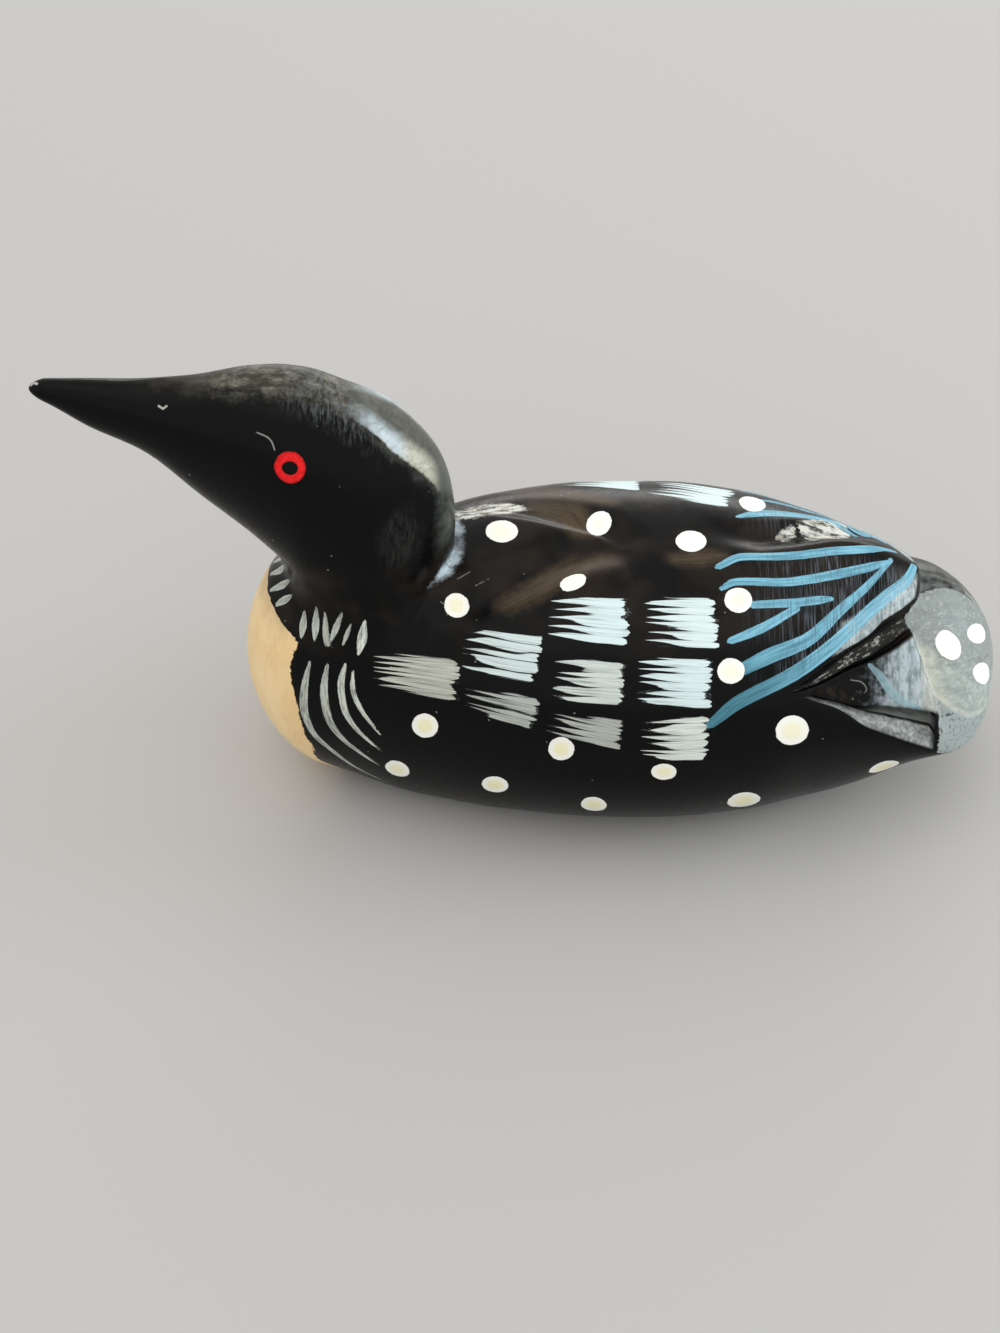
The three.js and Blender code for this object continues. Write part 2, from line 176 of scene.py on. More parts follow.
# where wing tips and lower feathers end above the tail: "at" over degrees
TIPS = through([0, 8.2, 14.7, 21.6, 28.1, 31.0, 33.7, 40.7, 47.7, 54.9, 60.9, 69.1, 75.0],
               [103.2, 102.9, 102.6, 101.6, 100.8, 100.9, 101.6, 102.2, 102.9, 103.4, 104.0, 104.8, 105.2])
BAND_PROFILE = through([-0.12, 0.0, 1.0, 2.0, 2.5, 3.0, 3.4], [0.0, -0.05, -0.85, -0.30, -0.95, -0.10, 0.0])
SLOT_PROFILE = through([-0.03, 0.0, 0.06, 0.14, 0.46, 0.53, 0.60, 0.66, 0.97, 1.04],
                       [0.0, -0.1, -1.35, -1.5, -1.05, -1.55, -1.5, -1.2, -0.05, 0.0])
TIP_STEP, TIP_RAMP = 0.75, 5.5

# Two gouged valleys part the back from the wings' front edges and meet behind the shoulders, a little
# left of the crest. Lines of (at, degrees from the crest with the left side negative, depth), then the
# widths of the slopes on their left and right.
LEFT_VALLEY = [(45.5, -35.0, 0.0), (49.5, -29.0, 0.7), (53.4, -23.0, 1.0), (58.0, -15.2, 1.1), (63.0, -8.8, 1.0), (67.0, -6.6, 0.75), (70.4, -7.0, 0.0)]
RIGHT_VALLEY = [(45.5, 30.0, 0.0), (49.5, 23.0, 0.5), (54.0, 17.5, 0.5), (58.0, 12.6, 0.45), (62.0, 7.0, 0.55), (65.4, 2.6, 0.75), (67.6, -3.0, 0.75), (70.0, -7.0, 0.0)]
# the groove between the wings, and the notch at its end
GROOVE = [(76.5, 8.0, 0.0), (80.0, 4.6, 0.45), (84.0, 2.6, 0.9), (87.0, 4.6, 1.1), (90.0, 7.4, 1.35), (93.0, 10.8, 1.35), (96.3, 17.0, 0.7), (98.0, 21.0, 0.0)]
DEGREE = 0.31


def line_distance(line, at, deg):
    """distance in mm to a broken line of (at, degrees, depth), the depth there, and the side"""
    best = np.full(np.shape(at), 1e9)
    depth = np.zeros_like(best)
    side = np.ones_like(best)
    for (a0, g0, d0), (a1, g1, d1) in zip(line[:-1], line[1:]):
        ux, uy = a1 - a0, (g1 - g0) * DEGREE
        px, py = at - a0, (deg - g0) * DEGREE
        t = np.clip((px * ux + py * uy) / (ux * ux + uy * uy), 0, 1)
        dist = np.hypot(px - t * ux, py - t * uy)
        near = dist < best
        best = np.where(near, dist, best)
        depth = np.where(near, d0 + t * (d1 - d0), depth)
        side = np.where(near, np.where(ux * py - uy * px >= 0, 1.0, -1.0), side)
    return best, depth, side


def strip(deg, edges):
    """0 at the first edge, 1 at the second and so on, running on past both ends"""
    q = np.full(np.shape(deg), -1.0)
    width = edges[1] - edges[0]
    q = (deg - edges[0]) / width
    for i in range(1, len(edges) - 1):
        q = np.where(deg > edges[i], i + (deg - edges[i]) / (edges[i + 1] - edges[i]), q)
    return q


def relief(at, y, z):
    deg = degrees_from_crest(at, y, z)
    h = np.zeros(np.shape(at))
    # band under the wing
    amount = smooth(85.5, 91.5, at) * (1 - smooth(0.0, 0.5, at - TIPS(deg)))
    q = strip(deg, [WING_EDGE(at), BAND_TOP(at), BAND_LOW(at), PLATE_TOP(at)])
    h += np.where((q > -0.12) & (q < 3.4), BAND_PROFILE(q), 0.0) * amount
    # slot
    amount = smooth(87.0, 97.0, at) * (1 - smooth(104.4, 105.0, at))
    q = (deg - PLATE_LOW(at)) / (HULL_EDGE(at) - PLATE_LOW(at))
    h += np.where((q > -0.03) & (q < 1.04), SLOT_PROFILE(q), 0.0) * amount
    # step from wing tips and lower feathers down to the tail
    past = at - TIPS(deg)
    down = smooth(-0.1, 0.5, past) * np.maximum(1 - np.maximum(past, 0) / TIP_RAMP, 0) ** 1.5
    h -= TIP_STEP * down * (1 - smooth(74, 84, deg))
    # valleys of the back and groove between the wings
    signed = np.where(y < 0, -deg, deg)
    for line, left, right in ((LEFT_VALLEY, 3.6, 4.8), (RIGHT_VALLEY, 1.7, 4.5), (GROOVE, 3.6, 2.4)):
        dist, depth, side = line_distance(line, at, signed)
        t = np.clip(1 - dist / np.where(side > 0, right, left), 0, 1)
        h = np.minimum(h, -depth * t * t * (3 - 2 * t))
    return h


# a flat of the knife over the crown, left a little proud, its edges seen as creases down both sides of
# the back of the head; and a thumb-shaped hollow behind each cheek
CAP_HALF = through([12, 18, 22, 27, 31.5, 35.3, 38, 40.1, 41.7, 43.6, 45.5, 47.2],
                   [0.5, 1.2, 1.8, 2.6, 2.7, 2.8, 3.3, 3.8, 4.2, 4.0, 3.6, 3.0])
CAP_LIFT, CAP_EDGE = 0.30, 0.30
HOLLOW_AT, HOLLOW_Z, HOLLOW_R, HOLLOW_DEEP = 42.8, 42.6, 1.9, 0.55


def head_relief(at, y, z):
    half = CAP_HALF(at)
    lift = CAP_LIFT * smooth(half + CAP_EDGE, half - CAP_EDGE, np.abs(y)) * smooth(9, 17, at) * smooth(41, 45, z)
    away = ((at - HOLLOW_AT) ** 2 + (0.8 * (z - HOLLOW_Z)) ** 2) / (2 * HOLLOW_R ** 2)
    return lift - HOLLOW_DEEP * np.exp(-away)


SOLE_ROUND = 0.35


def field(at, y, z):
    f = base_field(at, y, z, relief, head_relief)
    return -smooth_min(-f, z, SOLE_ROUND)


# ---------------------------------------------------------------------------------------------
# The mesh: section planes from tail to bill, rays in each plane, the surface found along each ray.
# ---------------------------------------------------------------------------------------------
FAN_AT, FAN_Z, CHIN_AT = 51.0, 37.6, 22.0
REAR_FROM = 84.5


def section_planes(fine=1.0):
    """rows of centre at, centre z, up at, up z, width to height of the section"""
    rows = []

    def upright(at, z, aspect):
        rows.append((at, z, 0.0, 1.0, aspect))

    for back in 5.3 * np.linspace(0.053, 1.0, int(round(36 * fine))) ** 2:
        upright(LENGTH - back, float(body["mid"](LENGTH - back)), 1.5)
    n = int(round(86 * fine))
    for a in np.linspace(LENGTH - 5.3, REAR_FROM, n + 1)[1:]:
        upright(a, float(body["mid"](a)), 1.2)
    n = int(round(66 * fine))
    for a in np.linspace(REAR_FROM, FAN_AT, n + 1)[1:]:
        upright(a, float(body["mid"](a)), 1.1)
    n = int(round(84 * fine))
    for t in np.linspace(0, 1, n + 1)[1:]:
        q = t * np.pi / 2
        reach = 21.3 * (1 - t) + 14.5 * t
        rows.append((FAN_AT - np.sin(q) * reach, FAN_Z - np.cos(q) * reach, np.sin(q), np.cos(q), 1.1 - 0.35 * t))
    n = int(round(62 * fine))
    for t in np.linspace(0, 1, n + 1)[1:]:
        q = t * np.pi / 2
        reach = 14.5 * (1 - t) + 11.5 * t
        rows.append((CHIN_AT + np.cos(q) * reach, FAN_Z + np.sin(q) * reach, np.cos(q), np.sin(q), 0.75 - 0.05 * t))

    def bill_mid(a):
        return float((head["top"](a) + head["chin"](a)) / 2)

    n = int(round(44 * fine))
    for a in np.linspace(CHIN_AT, TIP + 1.6, n + 1)[1:]:
        upright(a, bill_mid(a), 0.75)
    for a in TIP + np.geomspace(1.6, 0.012, int(round(12 * fine)))[1:]:
        upright(a, bill_mid(a), 0.8)
    return np.array(rows)


ROWS = [44, 3, 8, 7, 16, 21, 29]  # crest to wing edge, wall, band, groove, plate, slot, hull


def row_angles(planes, fine=1.0):
    counts = [max(1, int(round(n * fine))) for n in ROWS]
    half = sum(counts)
    spread = np.linspace(0, 1, half + 1)
    spread = spread + 0.16 * np.sin(np.pi * spread) * spread  # fewer rows on the underside
    spread = spread / spread[-1]
    a = np.pi * spread
    even = np.arctan2(np.sin(a)[None, :] * planes[:, 4:5], np.cos(a)[None, :])
    even = np.mod(even, 2 * np.pi)
    even[:, -1] = np.pi
    at = planes[:, 0]
    w = np.where((planes[:, 2] == 0) & (at > FAN_AT - 0.01), smooth(66, REAR_FROM + 1, at), 0.0)[:, None]
    keys = np.stack([np.zeros_like(at), WING_EDGE(at), BAND_TOP(at), BAND_LOW(at), PLATE_TOP(at), PLATE_LOW(at), HULL_EDGE(at), np.full_like(at, 180.0)], 1)
    cols = [keys[:, :1]]
    for i, n in enumerate(counts):
        t = np.linspace(0, 1, n + 1)[1:][None, :]
        if i == len(counts) - 1:
            t = t ** 1.25
        cols.append(keys[:, i:i + 1] * (1 - t) + keys[:, i + 1:i + 2] * t)
    cut = np.radians(np.concatenate(cols, 1))
    return even * (1 - w) + cut * w, half


def solve(planes, angles):
    """angles per plane, signed: the surface point on each ray"""
    c, z0, ua, uz = (planes[:, i:i + 1] for i in range(4))
    dy, du = np.sin(angles), np.cos(angles)
    shape = angles.shape
    cc, zz, uu, vv = (np.broadcast_to(v, shape).ravel() for v in (c, z0, du * ua, du * uz))
    yy = dy.ravel()
    at_s = lambda s, i: field(cc[i] + uu[i] * s, yy[i] * s, zz[i] + vv[i] * s)
    lo = np.zeros(cc.size)
    hi = np.full(cc.size, 60.0)
    i = np.arange(cc.size)
    s, step = 0.05, 0.4
    while i.size and s < 60:
        out = at_s(s, i) >= 0
        hi[i[out]] = s
        lo[i[out]] = max(0.0, s - step)
        i = i[~out]
        s += step
    i = np.arange(cc.size)
    for _ in range(13):
        m = (lo + hi) / 2
        inside = at_s(m, i) < 0
        lo = np.where(inside, m, lo)
        hi = np.where(inside, hi, m)
    lo, hi = lo.reshape(shape), hi.reshape(shape)
    s = (lo + hi) / 2
    return np.stack([c + du * ua * s + X0, dy * s, z0 + du * uz * s], -1)


def make_mesh(fine=1.0):
    """vertices in mm, quads and end triangles, faces pointing out"""
    planes = section_planes(fine)
    rows, half = row_angles(planes, fine)
    around = 2 * half
    angles = np.concatenate([rows, -rows[:, 1:half][:, ::-1]], 1)
    grid = solve(planes, angles)
    n = len(planes)
    verts = [grid.reshape(-1, 3)]
    first, last = planes[0], planes[-1]
    verts.append(np.array([[first[0] + X0 + 0.01, 0, first[1]], [last[0] + X0 - 0.01, 0, last[1]]]))
    i, j = np.meshgrid(np.arange(n - 1), np.arange(around), indexing="ij")
    k = (j + 1) % around
    a, b, c, d = i * around + j, i * around + k, (i + 1) * around + j, (i + 1) * around + k
    quads = np.stack([a, b, d, c], -1).reshape(-1, 4)
    j = np.arange(around)
    k = (j + 1) % around
    base = (n - 1) * around
    tris = np.concatenate([np.stack([np.full(around, n * around), k, j], 1), np.stack([np.full(around, n * around + 1), base + j, base + k], 1)])
    return np.concatenate(verts), quads, tris, planes, angles


# ---------------------------------------------------------------------------------------------
# The painted marks. Places are (at, degrees from the crest), the left side negative.
# ---------------------------------------------------------------------------------------------
# dots: at, degrees, long diameter, short diameter, tilt of the long one, creaminess
DOTS = [
    (48.4, -27.9, 3.05, 2.80, -57, 0.5), (53.6, 3.8, 4.10, 3.71, -67, 0.15), (65.1, 8.4, 4.12, 2.85, 70, 0.2),
    (61.8, -20.9, 3.35, 2.29, 32, 0.1), (75.8, -1.4, 3.78, 3.52, 47, 0.1), (83.7, 24.2, 4.6, 3.20, 87, 0.2),
    (80.8, -27.9, 3.36, 3.08, 47, 0.35), (79.8, -51.8, 3.24, 2.90, -4, 0.3), (44.6, -78.2, 3.9, 3.05, 61, 0.7),
    (41.0, -114.5, 4.1, 3.0, 73, 0.6), (52.8, -104.1, 4.0, 3.05, 65, 0.8), (60.5, -78.9, 3.62, 2.99, 76, 0.7),
    (64.6, -108.9, 4.4, 3.1, -87, 0.7), (72.5, -87.4, 2.95, 2.71, -12, 0.6), (82.6, -112.0, 5.6, 3.9, -69, 0.7),
    (87.3, -78.0, 4.6, 3.75, -37, 0.45), (99.6, -113.9, 3.96, 3.5, 54, 0.7),
    (106.6, -34.7, 3.98, 3.1, -40, 0.0), (110.7, -20.3, 4.6, 2.4, 13, 0.0), (111.5, -46.9, 5.4, 2.6, -9, 0.0),
    # right side
    (48.0, 41.0, 3.1, 2.8, 20, 0.4), (80.2, 50.5, 3.3, 3.0, 10, 0.3),
    (45.4, 77.0, 3.8, 3.0, 60, 0.6), (42.2, 113.0, 4.0, 3.0, 70, 0.6), (53.6, 104.0, 4.0, 3.1, 60, 0.7),
    (61.4, 80.0, 3.6, 3.0, 70, 0.6), (65.6, 108.0, 4.2, 3.1, 85, 0.7), (73.2, 88.0, 3.1, 2.8, 10, 0.6),
    (86.6, 109.0, 4.8, 3.7, 60, 0.6), (88.0, 79.0, 4.4, 3.7, 30, 0.5), (99.2, 112.0, 3.9, 3.4, 50, 0.7),
    (106.2, 40.0, 3.6, 3.0, -30, 0.0), (110.6, 52.0, 3.0, 2.5, 0, 0.0),
]
# feather dabs of a flat brush: layer, middle of left end, middle of right end, width at left and at
# right, bristle groups, how far the groups stay apart (1 is solid), opacity, tint (0 blue-white, 1 beige)
DABS = [
    (0, 59.0, -33.2, 68.2, -35.3, 5.0, 5.7, 5, 1.25, 0.95, 0.10),
    (1, 69.7, -34.7, 78.3, -35.9, 5.9, 6.1, 6, 1.20, 0.95, 0.15),
    (2, 59.5, -53.2, 67.6, -54.8, 5.0, 4.9, 5, 1.20, 0.85, 0.45),
    (1, 49.1, -43.6, 57.8, -47.6, 4.6, 5.4, 5, 0.86, 0.90, 0.20),
    (2, 69.1, -53.7, 77.6, -55.4, 5.3, 5.6, 6, 1.15, 0.95, 0.10),
    (0, 49.2, -62.0, 57.6, -66.0, 3.2, 4.2, 4, 0.88, 0.60, 0.60),
    (1, 58.9, -67.9, 67.5, -72.2, 2.8, 4.1, 4, 1.02, 0.62, 0.65),
    (0, 69.6, -73.9, 77.4, -74.3, 5.6, 6.2, 6, 1.15, 1.00, 0.55),
    (2, 38.7, -53.6, 48.6, -55.8, 4.3, 5.0, 6, 1.10, 0.72, 0.85),
    # right side
    (0, 61.4, 40.5, 70.4, 36.5, 5.0, 5.6, 5, 1.20, 0.95, 0.10),
    (1, 71.6, 34.0, 81.4, 27.5, 5.6, 6.0, 6, 1.15, 0.95, 0.12),
    (2, 61.0, 56.0, 69.4, 56.6, 5.0, 5.2, 5, 1.15, 0.85, 0.35),
    (1, 51.0, 47.0, 59.4, 49.0, 4.8, 5.2, 5, 1.10, 0.90, 0.20),
    (2, 71.0, 54.0, 79.6, 54.8, 5.3, 5.6, 6, 1.15, 0.95, 0.15),
    (0, 51.0, 65.0, 59.4, 67.6, 3.8, 4.3, 4, 1.10, 0.70, 0.55),
    (1, 61.0, 73.0, 69.6, 75.0, 4.0, 4.4, 4, 1.10, 0.75, 0.60),
    (0, 71.4, 74.0, 79.4, 75.0, 5.4, 5.8, 6, 1.15, 0.95, 0.50),
    (2, 40.4, 55.0, 49.8, 57.0, 4.4, 5.0, 6, 1.10, 0.75, 0.80),
]
# long blue strokes: layer, widths along the stroke, places
BLUES = [
    (0, [0.85, 1.15, 1.2, 1.15, 1.05, 0.5], [(78.7, -14.3), (81.6, -9.4), (86.0, -9.2), (91.3, -6.7), (96.7, -1.5), (100.4, 5.0)]),
    (0, [0.6, 1.0, 1.1, 1.15, 1.15, 1.05, 0.5], [(78.9, -23.7), (80.6, -20.7), (85.8, -21.0), (89.3, -19.7), (92.8, -16.3), (96.5, -10.5), (99.4, -4.4)]),
    (0, [0.9, 1.05, 1.0, 0.5], [(82.3, -29.8), (87.1, -29.6), (90.2, -28.6), (91.9, -27.6)]),
    (1, [0.8, 1.1, 0.9], [(79.7, -42.2), (83.2, -38.5), (87.6, -31.8)]),
    (1, [1.5, 1.75, 1.6, 1.25, 0.95, 0.6], [(81.2, -51.5), (84.6, -47.7), (88.6, -44.8), (93.0, -31.7), (95.9, -20.9), (99.5, -3.3)]),
    (0, [1.2, 1.7, 1.75, 1.7, 1.6, 1.5, 1.3, 0.9], [(77.6, -68.8), (80.6, -62.5), (87.3, -55.9), (90.1, -51.8), (94.3, -39.6), (98.8, -21.6), (101.6, -8.4), (102.5, -0.6)]),
    (1, [0.5, 0.95, 1.0, 0.9, 0.6], [(96.5, -56.6), (97.8, -61.8), (99.1, -68.3), (100.9, -71.8), (103.0, -72.2)]),
    # right side
    (0, [0.7, 1.5, 1.5, 1.2, 0.5], [(81.7, 13.0), (84.4, 16.2), (89.0, 19.0), (92.5, 20.0), (96.0, 17.5)]),
    (1, [0.6, 1.1, 1.1, 0.9, 0.5], [(84.6, 29.0), (87.5, 30.5), (91.0, 28.5), (94.0, 25.0), (97.5, 19.0)]),
    (0, [0.9, 1.05, 1.0, 0.5], [(83.0, 40.0), (88.0, 38.5), (91.0, 36.0), (93.5, 32.0)]),
    (1, [1.5, 1.75, 1.5, 1.1, 0.6], [(81.8, 52.0), (85.4, 49.5), (89.6, 45.0), (94.0, 33.0), (99.5, 14.0)]),
    (0, [1.2, 1.7, 1.75, 1.6, 1.3, 0.9], [(78.4, 69.0), (81.4, 63.0), (88.0, 57.0), (91.4, 51.8), (95.4, 40.0), (100.6, 18.0)]),
    (1, [0.5, 0.95, 1.0, 0.9, 0.6], [(96.5, 56.6), (97.8, 61.8), (99.1, 67.5), (100.9, 71.4), (103.0, 72.2)]),
]
# fine lines: widths, whiteness, places; the throat dashes and the stripes of the breast
LINES = [
    ([0.2, 0.95, 0.25], 0.6, [(30.6, -27.8), (30.4, -33.5), (30.1, -39.6)]),
    ([0.2, 0.95, 0.25], 0.6, [(32.1, -28.0), (31.9, -34.5), (31.7, -40.8)]),
    ([0.2, 0.8, 0.6, 0.2], 0.5, [(33.1, -30.3), (33.1, -37.0), (33.2, -42.6), (33.9, -43.9)]),
    ([0.2, 0.75, 0.2], 0.6, [(35.2, -31.2), (34.3, -36.5), (33.6, -41.8)]),
    ([0.15, 0.5, 0.15], 0.5, [(36.2, -34.7), (35.6, -39.0), (35.0, -43.6)]),
    ([0.35, 1.15, 0.3], 0.95, [(37.8, -34.3), (37.4, -40.5), (36.9, -47.0)]),
    ([0.3, 0.9, 1.1, 0.9, 0.7, 0.5, 0.3, 0.2], 0.55, [(31.1, -51.0), (30.3, -66.1), (30.0, -83.2), (30.7, -101.6), (33.1, -118.0), (35.9, -131.1), (38.6, -136.5), (41.8, -139.4)]),
    ([0.35, 0.95, 1.0, 0.8, 0.55, 0.25], 0.6, [(33.2, -52.0), (32.6, -69.3), (32.9, -86.5), (34.5, -102.4), (37.1, -112.4), (39.2, -118.5)]),
    ([0.4, 0.85, 0.85, 0.7, 0.5, 0.25], 0.75, [(35.3, -52.0), (34.7, -63.7), (35.0, -78.7), (36.1, -89.6), (37.9, -98.2), (40.0, -104.3)]),
    ([0.25, 0.6, 0.65, 0.5, 0.2], 0.8, [(36.2, -54.4), (36.1, -64.0), (36.9, -75.4), (38.0, -83.2), (39.3, -91.1)]),
]
LINES += [(w, k, [(a, -g) for a, g in line]) for w, k, line in LINES]
# dashes round the front of the throat, in mm from the middle: y, z at the top, then at the bottom
THROAT = [(-5.4, 31.2, -4.7, 28.9), (-4.3, 32.6, -2.6, 29.3), (-2.7, 33.4, -0.3, 29.8), (-0.9, 34.2, 1.6, 30.0),
          (5.6, 31.0, 4.9, 28.9), (4.4, 32.4, 3.2, 29.2)]
# the breast patch seen from the front: half its width over height
BREAST_HALF = through([-1.0, 1.5, 6.1, 11.6, 16.2, 20.1, 23.8, 27.0, 28.0, 28.7, 29.6], [6.0, 7.2, 8.8, 10.6, 10.85, 10.3, 9.4, 8.7, 6.4, 4.6, 0.0])
BREAST_TOP, BREAST_BACK = 29.3, 33.5
TAIL_GREY = through([101.5, 103.3, 106.5, 108.6, 110.8, 114.0], [14.6, 11.2, 3.9, 1.4, 0.1, -2.0])
EYE_AT, EYE_Y, EYE_Z, EYE_R, EYE_PUPIL = 30.3, 7.3, 52.2, 1.79, 0.80


# worn places where grey shows through the black, partly painted highlights: facets cut beside the groove, on both sides
# of the crest, and a highlight painted along the cut round the foot of the neck
FACETS = [
    [(88.7, 12.8), (89.2, 8.3), (90.5, 2.8), (92.2, 8.2), (93.4, 6.9), (95.3, 15.1), (94.7, 25.0), (92.2, 18.8)],
    [(85.9, 4.6), (86.9, 2.6), (88.3, 6.6), (88.2, 10.5), (87.1, 8.9)],
    [(48.3, 14.0), (50.4, 12.6), (53.4, 15.2), (57.0, 18.0), (54.0, 24.0), (50.0, 25.0), (48.0, 21.0)],
]
COLLAR = [(48.8, 1.0), (48.4, -5.2), (47.9, -9.1), (47.0, -14.0), (46.2, -17.4), (45.1, -21.6)]
# brownish sheens painted in along the back, painted reflections: widths and places
WARM_SHEENS = [
    ([1.6, 3.0, 3.2, 2.8, 1.6], [(53.8, -29.2), (56.8, -24.4), (59.8, -18.7), (62.9, -13.4), (66.4, -10.3)]),
    ([2.0, 4.4, 3.2], [(57.7, 19.0), (61.3, 13.0), (62.9, 5.6)]),
    ([1.0, 2.2, 1.2], [(73.6, -10.6), (76.5, -9.6), (79.2, -8.4)]),
    ([1.6, 3.0, 3.0, 1.6], [(55.0, 33.0), (58.6, 28.0), (62.0, 24.0), (66.4, 20.3)]),
]
# two small chips of the bill and a curl of paint by the eye: half width, and x, y, z in mm
CHIPS = [
    (0.11, [(-41.75, -2.60, 56.95), (-41.45, -2.74, 56.80), (-41.15, -2.66, 57.00)]),
    (0.07, [(-30.86, -5.52, 55.65), (-30.35, -5.66, 55.51), (-29.74, -5.86, 55.28), (-29.34, -6.12, 54.84), (-29.11, -6.45, 54.19)]),
    (0.15, [(-56.0, 0.0, 58.05), (-55.75, 0.05, 58.2), (-55.5, -0.2, 58.3)]),
]
# hair-thin scratches: half width and places
SCRATCHES = [
    (0.05, [(48.6, -17.6), (49.8, -15.4)]),
    (0.05, [(50.6, -20.4), (52.0, -18.0)]),
    (0.05, [(46.6, -26.6), (47.3, -28.4), (47.3, -31.0)]),
    (0.05, [(94.3, -62.8), (95.5, -64.1), (96.2, -67.9), (96.0, -68.7)]),
    (0.06, [(102.6, -62.4), (102.7, -66.0), (102.9, -70.9)]),
    (0.05, [(86.2, 33.5), (89.0, 30.5), (91.6, 27.0)]),
    (0.05, [(60.6, 24.0), (63.2, 28.0), (66.6, 30.5)]),
]


def inside_of(corners, at, deg):
    """signed distance in mm to a polygon of (at, degrees), negative inside"""
    px, py = at, deg * DEGREE
    best = np.full(np.shape(at), 1e9)
    inside = np.zeros(np.shape(at), bool)
    for (a0, g0), (a1, g1) in zip(corners, corners[1:] + corners[:1]):
        x0, y0, x1, y1 = a0, g0 * DEGREE, a1, g1 * DEGREE
        t = np.clip(((px - x0) * (x1 - x0) + (py - y0) * (y1 - y0)) / ((x1 - x0) ** 2 + (y1 - y0) ** 2), 0, 1)
        best = np.minimum(best, np.hypot(px - x0 - t * (x1 - x0), py - y0 - t * (y1 - y0)))
        if y0 != y1:
            crosses = ((y0 > py) != (y1 > py)) & (px < (x1 - x0) * (py - y0) / (y1 - y0) + x0)
            inside ^= crosses
    return np.where(inside, -best, best)


def place(at, deg):
    """the surface at those places, in mm, with the middle of the bird at y 0"""
    at, g = np.atleast_1d(np.asarray(at, float)), np.radians(np.atleast_1d(np.asarray(deg, float)))
    planes = np.stack([at, body["mid"](at), np.zeros_like(at), np.ones_like(at)], 1)
    return solve(planes, g[:, None])[:, 0]


def direction(p):
    """outward normal of the surface at one point"""
    e = 0.02
    step = np.eye(3) * e
    g = np.array([float(field(p[0] - X0 + s[0], p[1] + s[1], p[2] + s[2]) - field(p[0] - X0 - s[0], p[1] - s[1], p[2] - s[2])) for s in step])
    return g / np.linalg.norm(g)


def axes_at(p):
    n = direction(p)
    along = np.array([1.0, 0, 0]) - n[0] * n
    along /= np.linalg.norm(along)
    return n, along, np.cross(n, along)


def curve_3d(points, widths, steps=30):
    """a smooth line through points, its half width there and its running length"""
    points = np.asarray(points, float)
    run = np.concatenate([[0], np.cumsum(np.linalg.norm(np.diff(points, axis=0), axis=1))])
    t = np.linspace(0, run[-1], steps)
    line = np.stack([through(run, points[:, i])(t) for i in range(3)], 1)
    half = through(run, np.asarray(widths, float) / 2)(t)
    return line, half, t


def stroke_field(P, N, strokes, far=2.5):
    """signed distance to the nearest stroke, run along it, offset across it, its number"""
    out = np.tile([far, 0.0, 0.0, 0.0], (len(P), 1))
    for number, (line, half, run) in enumerate(strokes):
        lo, hi = line.min(0) - far, line.max(0) + far
        near = np.nonzero(((P > lo) & (P < hi)).all(1))[0]
        if near.size == 0:
            continue
        a, b = line[:-1], line[1:]
        ab = b - a
        p = P[near]
        t = np.clip(((p[:, None] - a[None]) * ab[None]).sum(-1) / np.maximum((ab * ab).sum(-1), 1e-9)[None], 0, 1)
        q = a[None] + t[..., None] * ab[None]
        dist = np.linalg.norm(p[:, None] - q, axis=-1)
        k = dist.argmin(1)
        r = np.arange(len(near))
        tt = t[r, k]
        w = half[k] + tt * (half[k + 1] - half[k])
        u = run[k] + tt * (run[k + 1] - run[k])
        tangent = ab[k] / np.maximum(np.linalg.norm(ab[k], axis=1), 1e-9)[:, None]
        side = np.cross(N[near], tangent)
        v = ((p - q[r, k]) * side).sum(1)
        d = dist[r, k] - w
        better = d < out[near, 0]
        rows = near[better]
        out[rows] = np.stack([d, u, v, np.full(len(near), number + 1.0)], 1)[better]
    return out


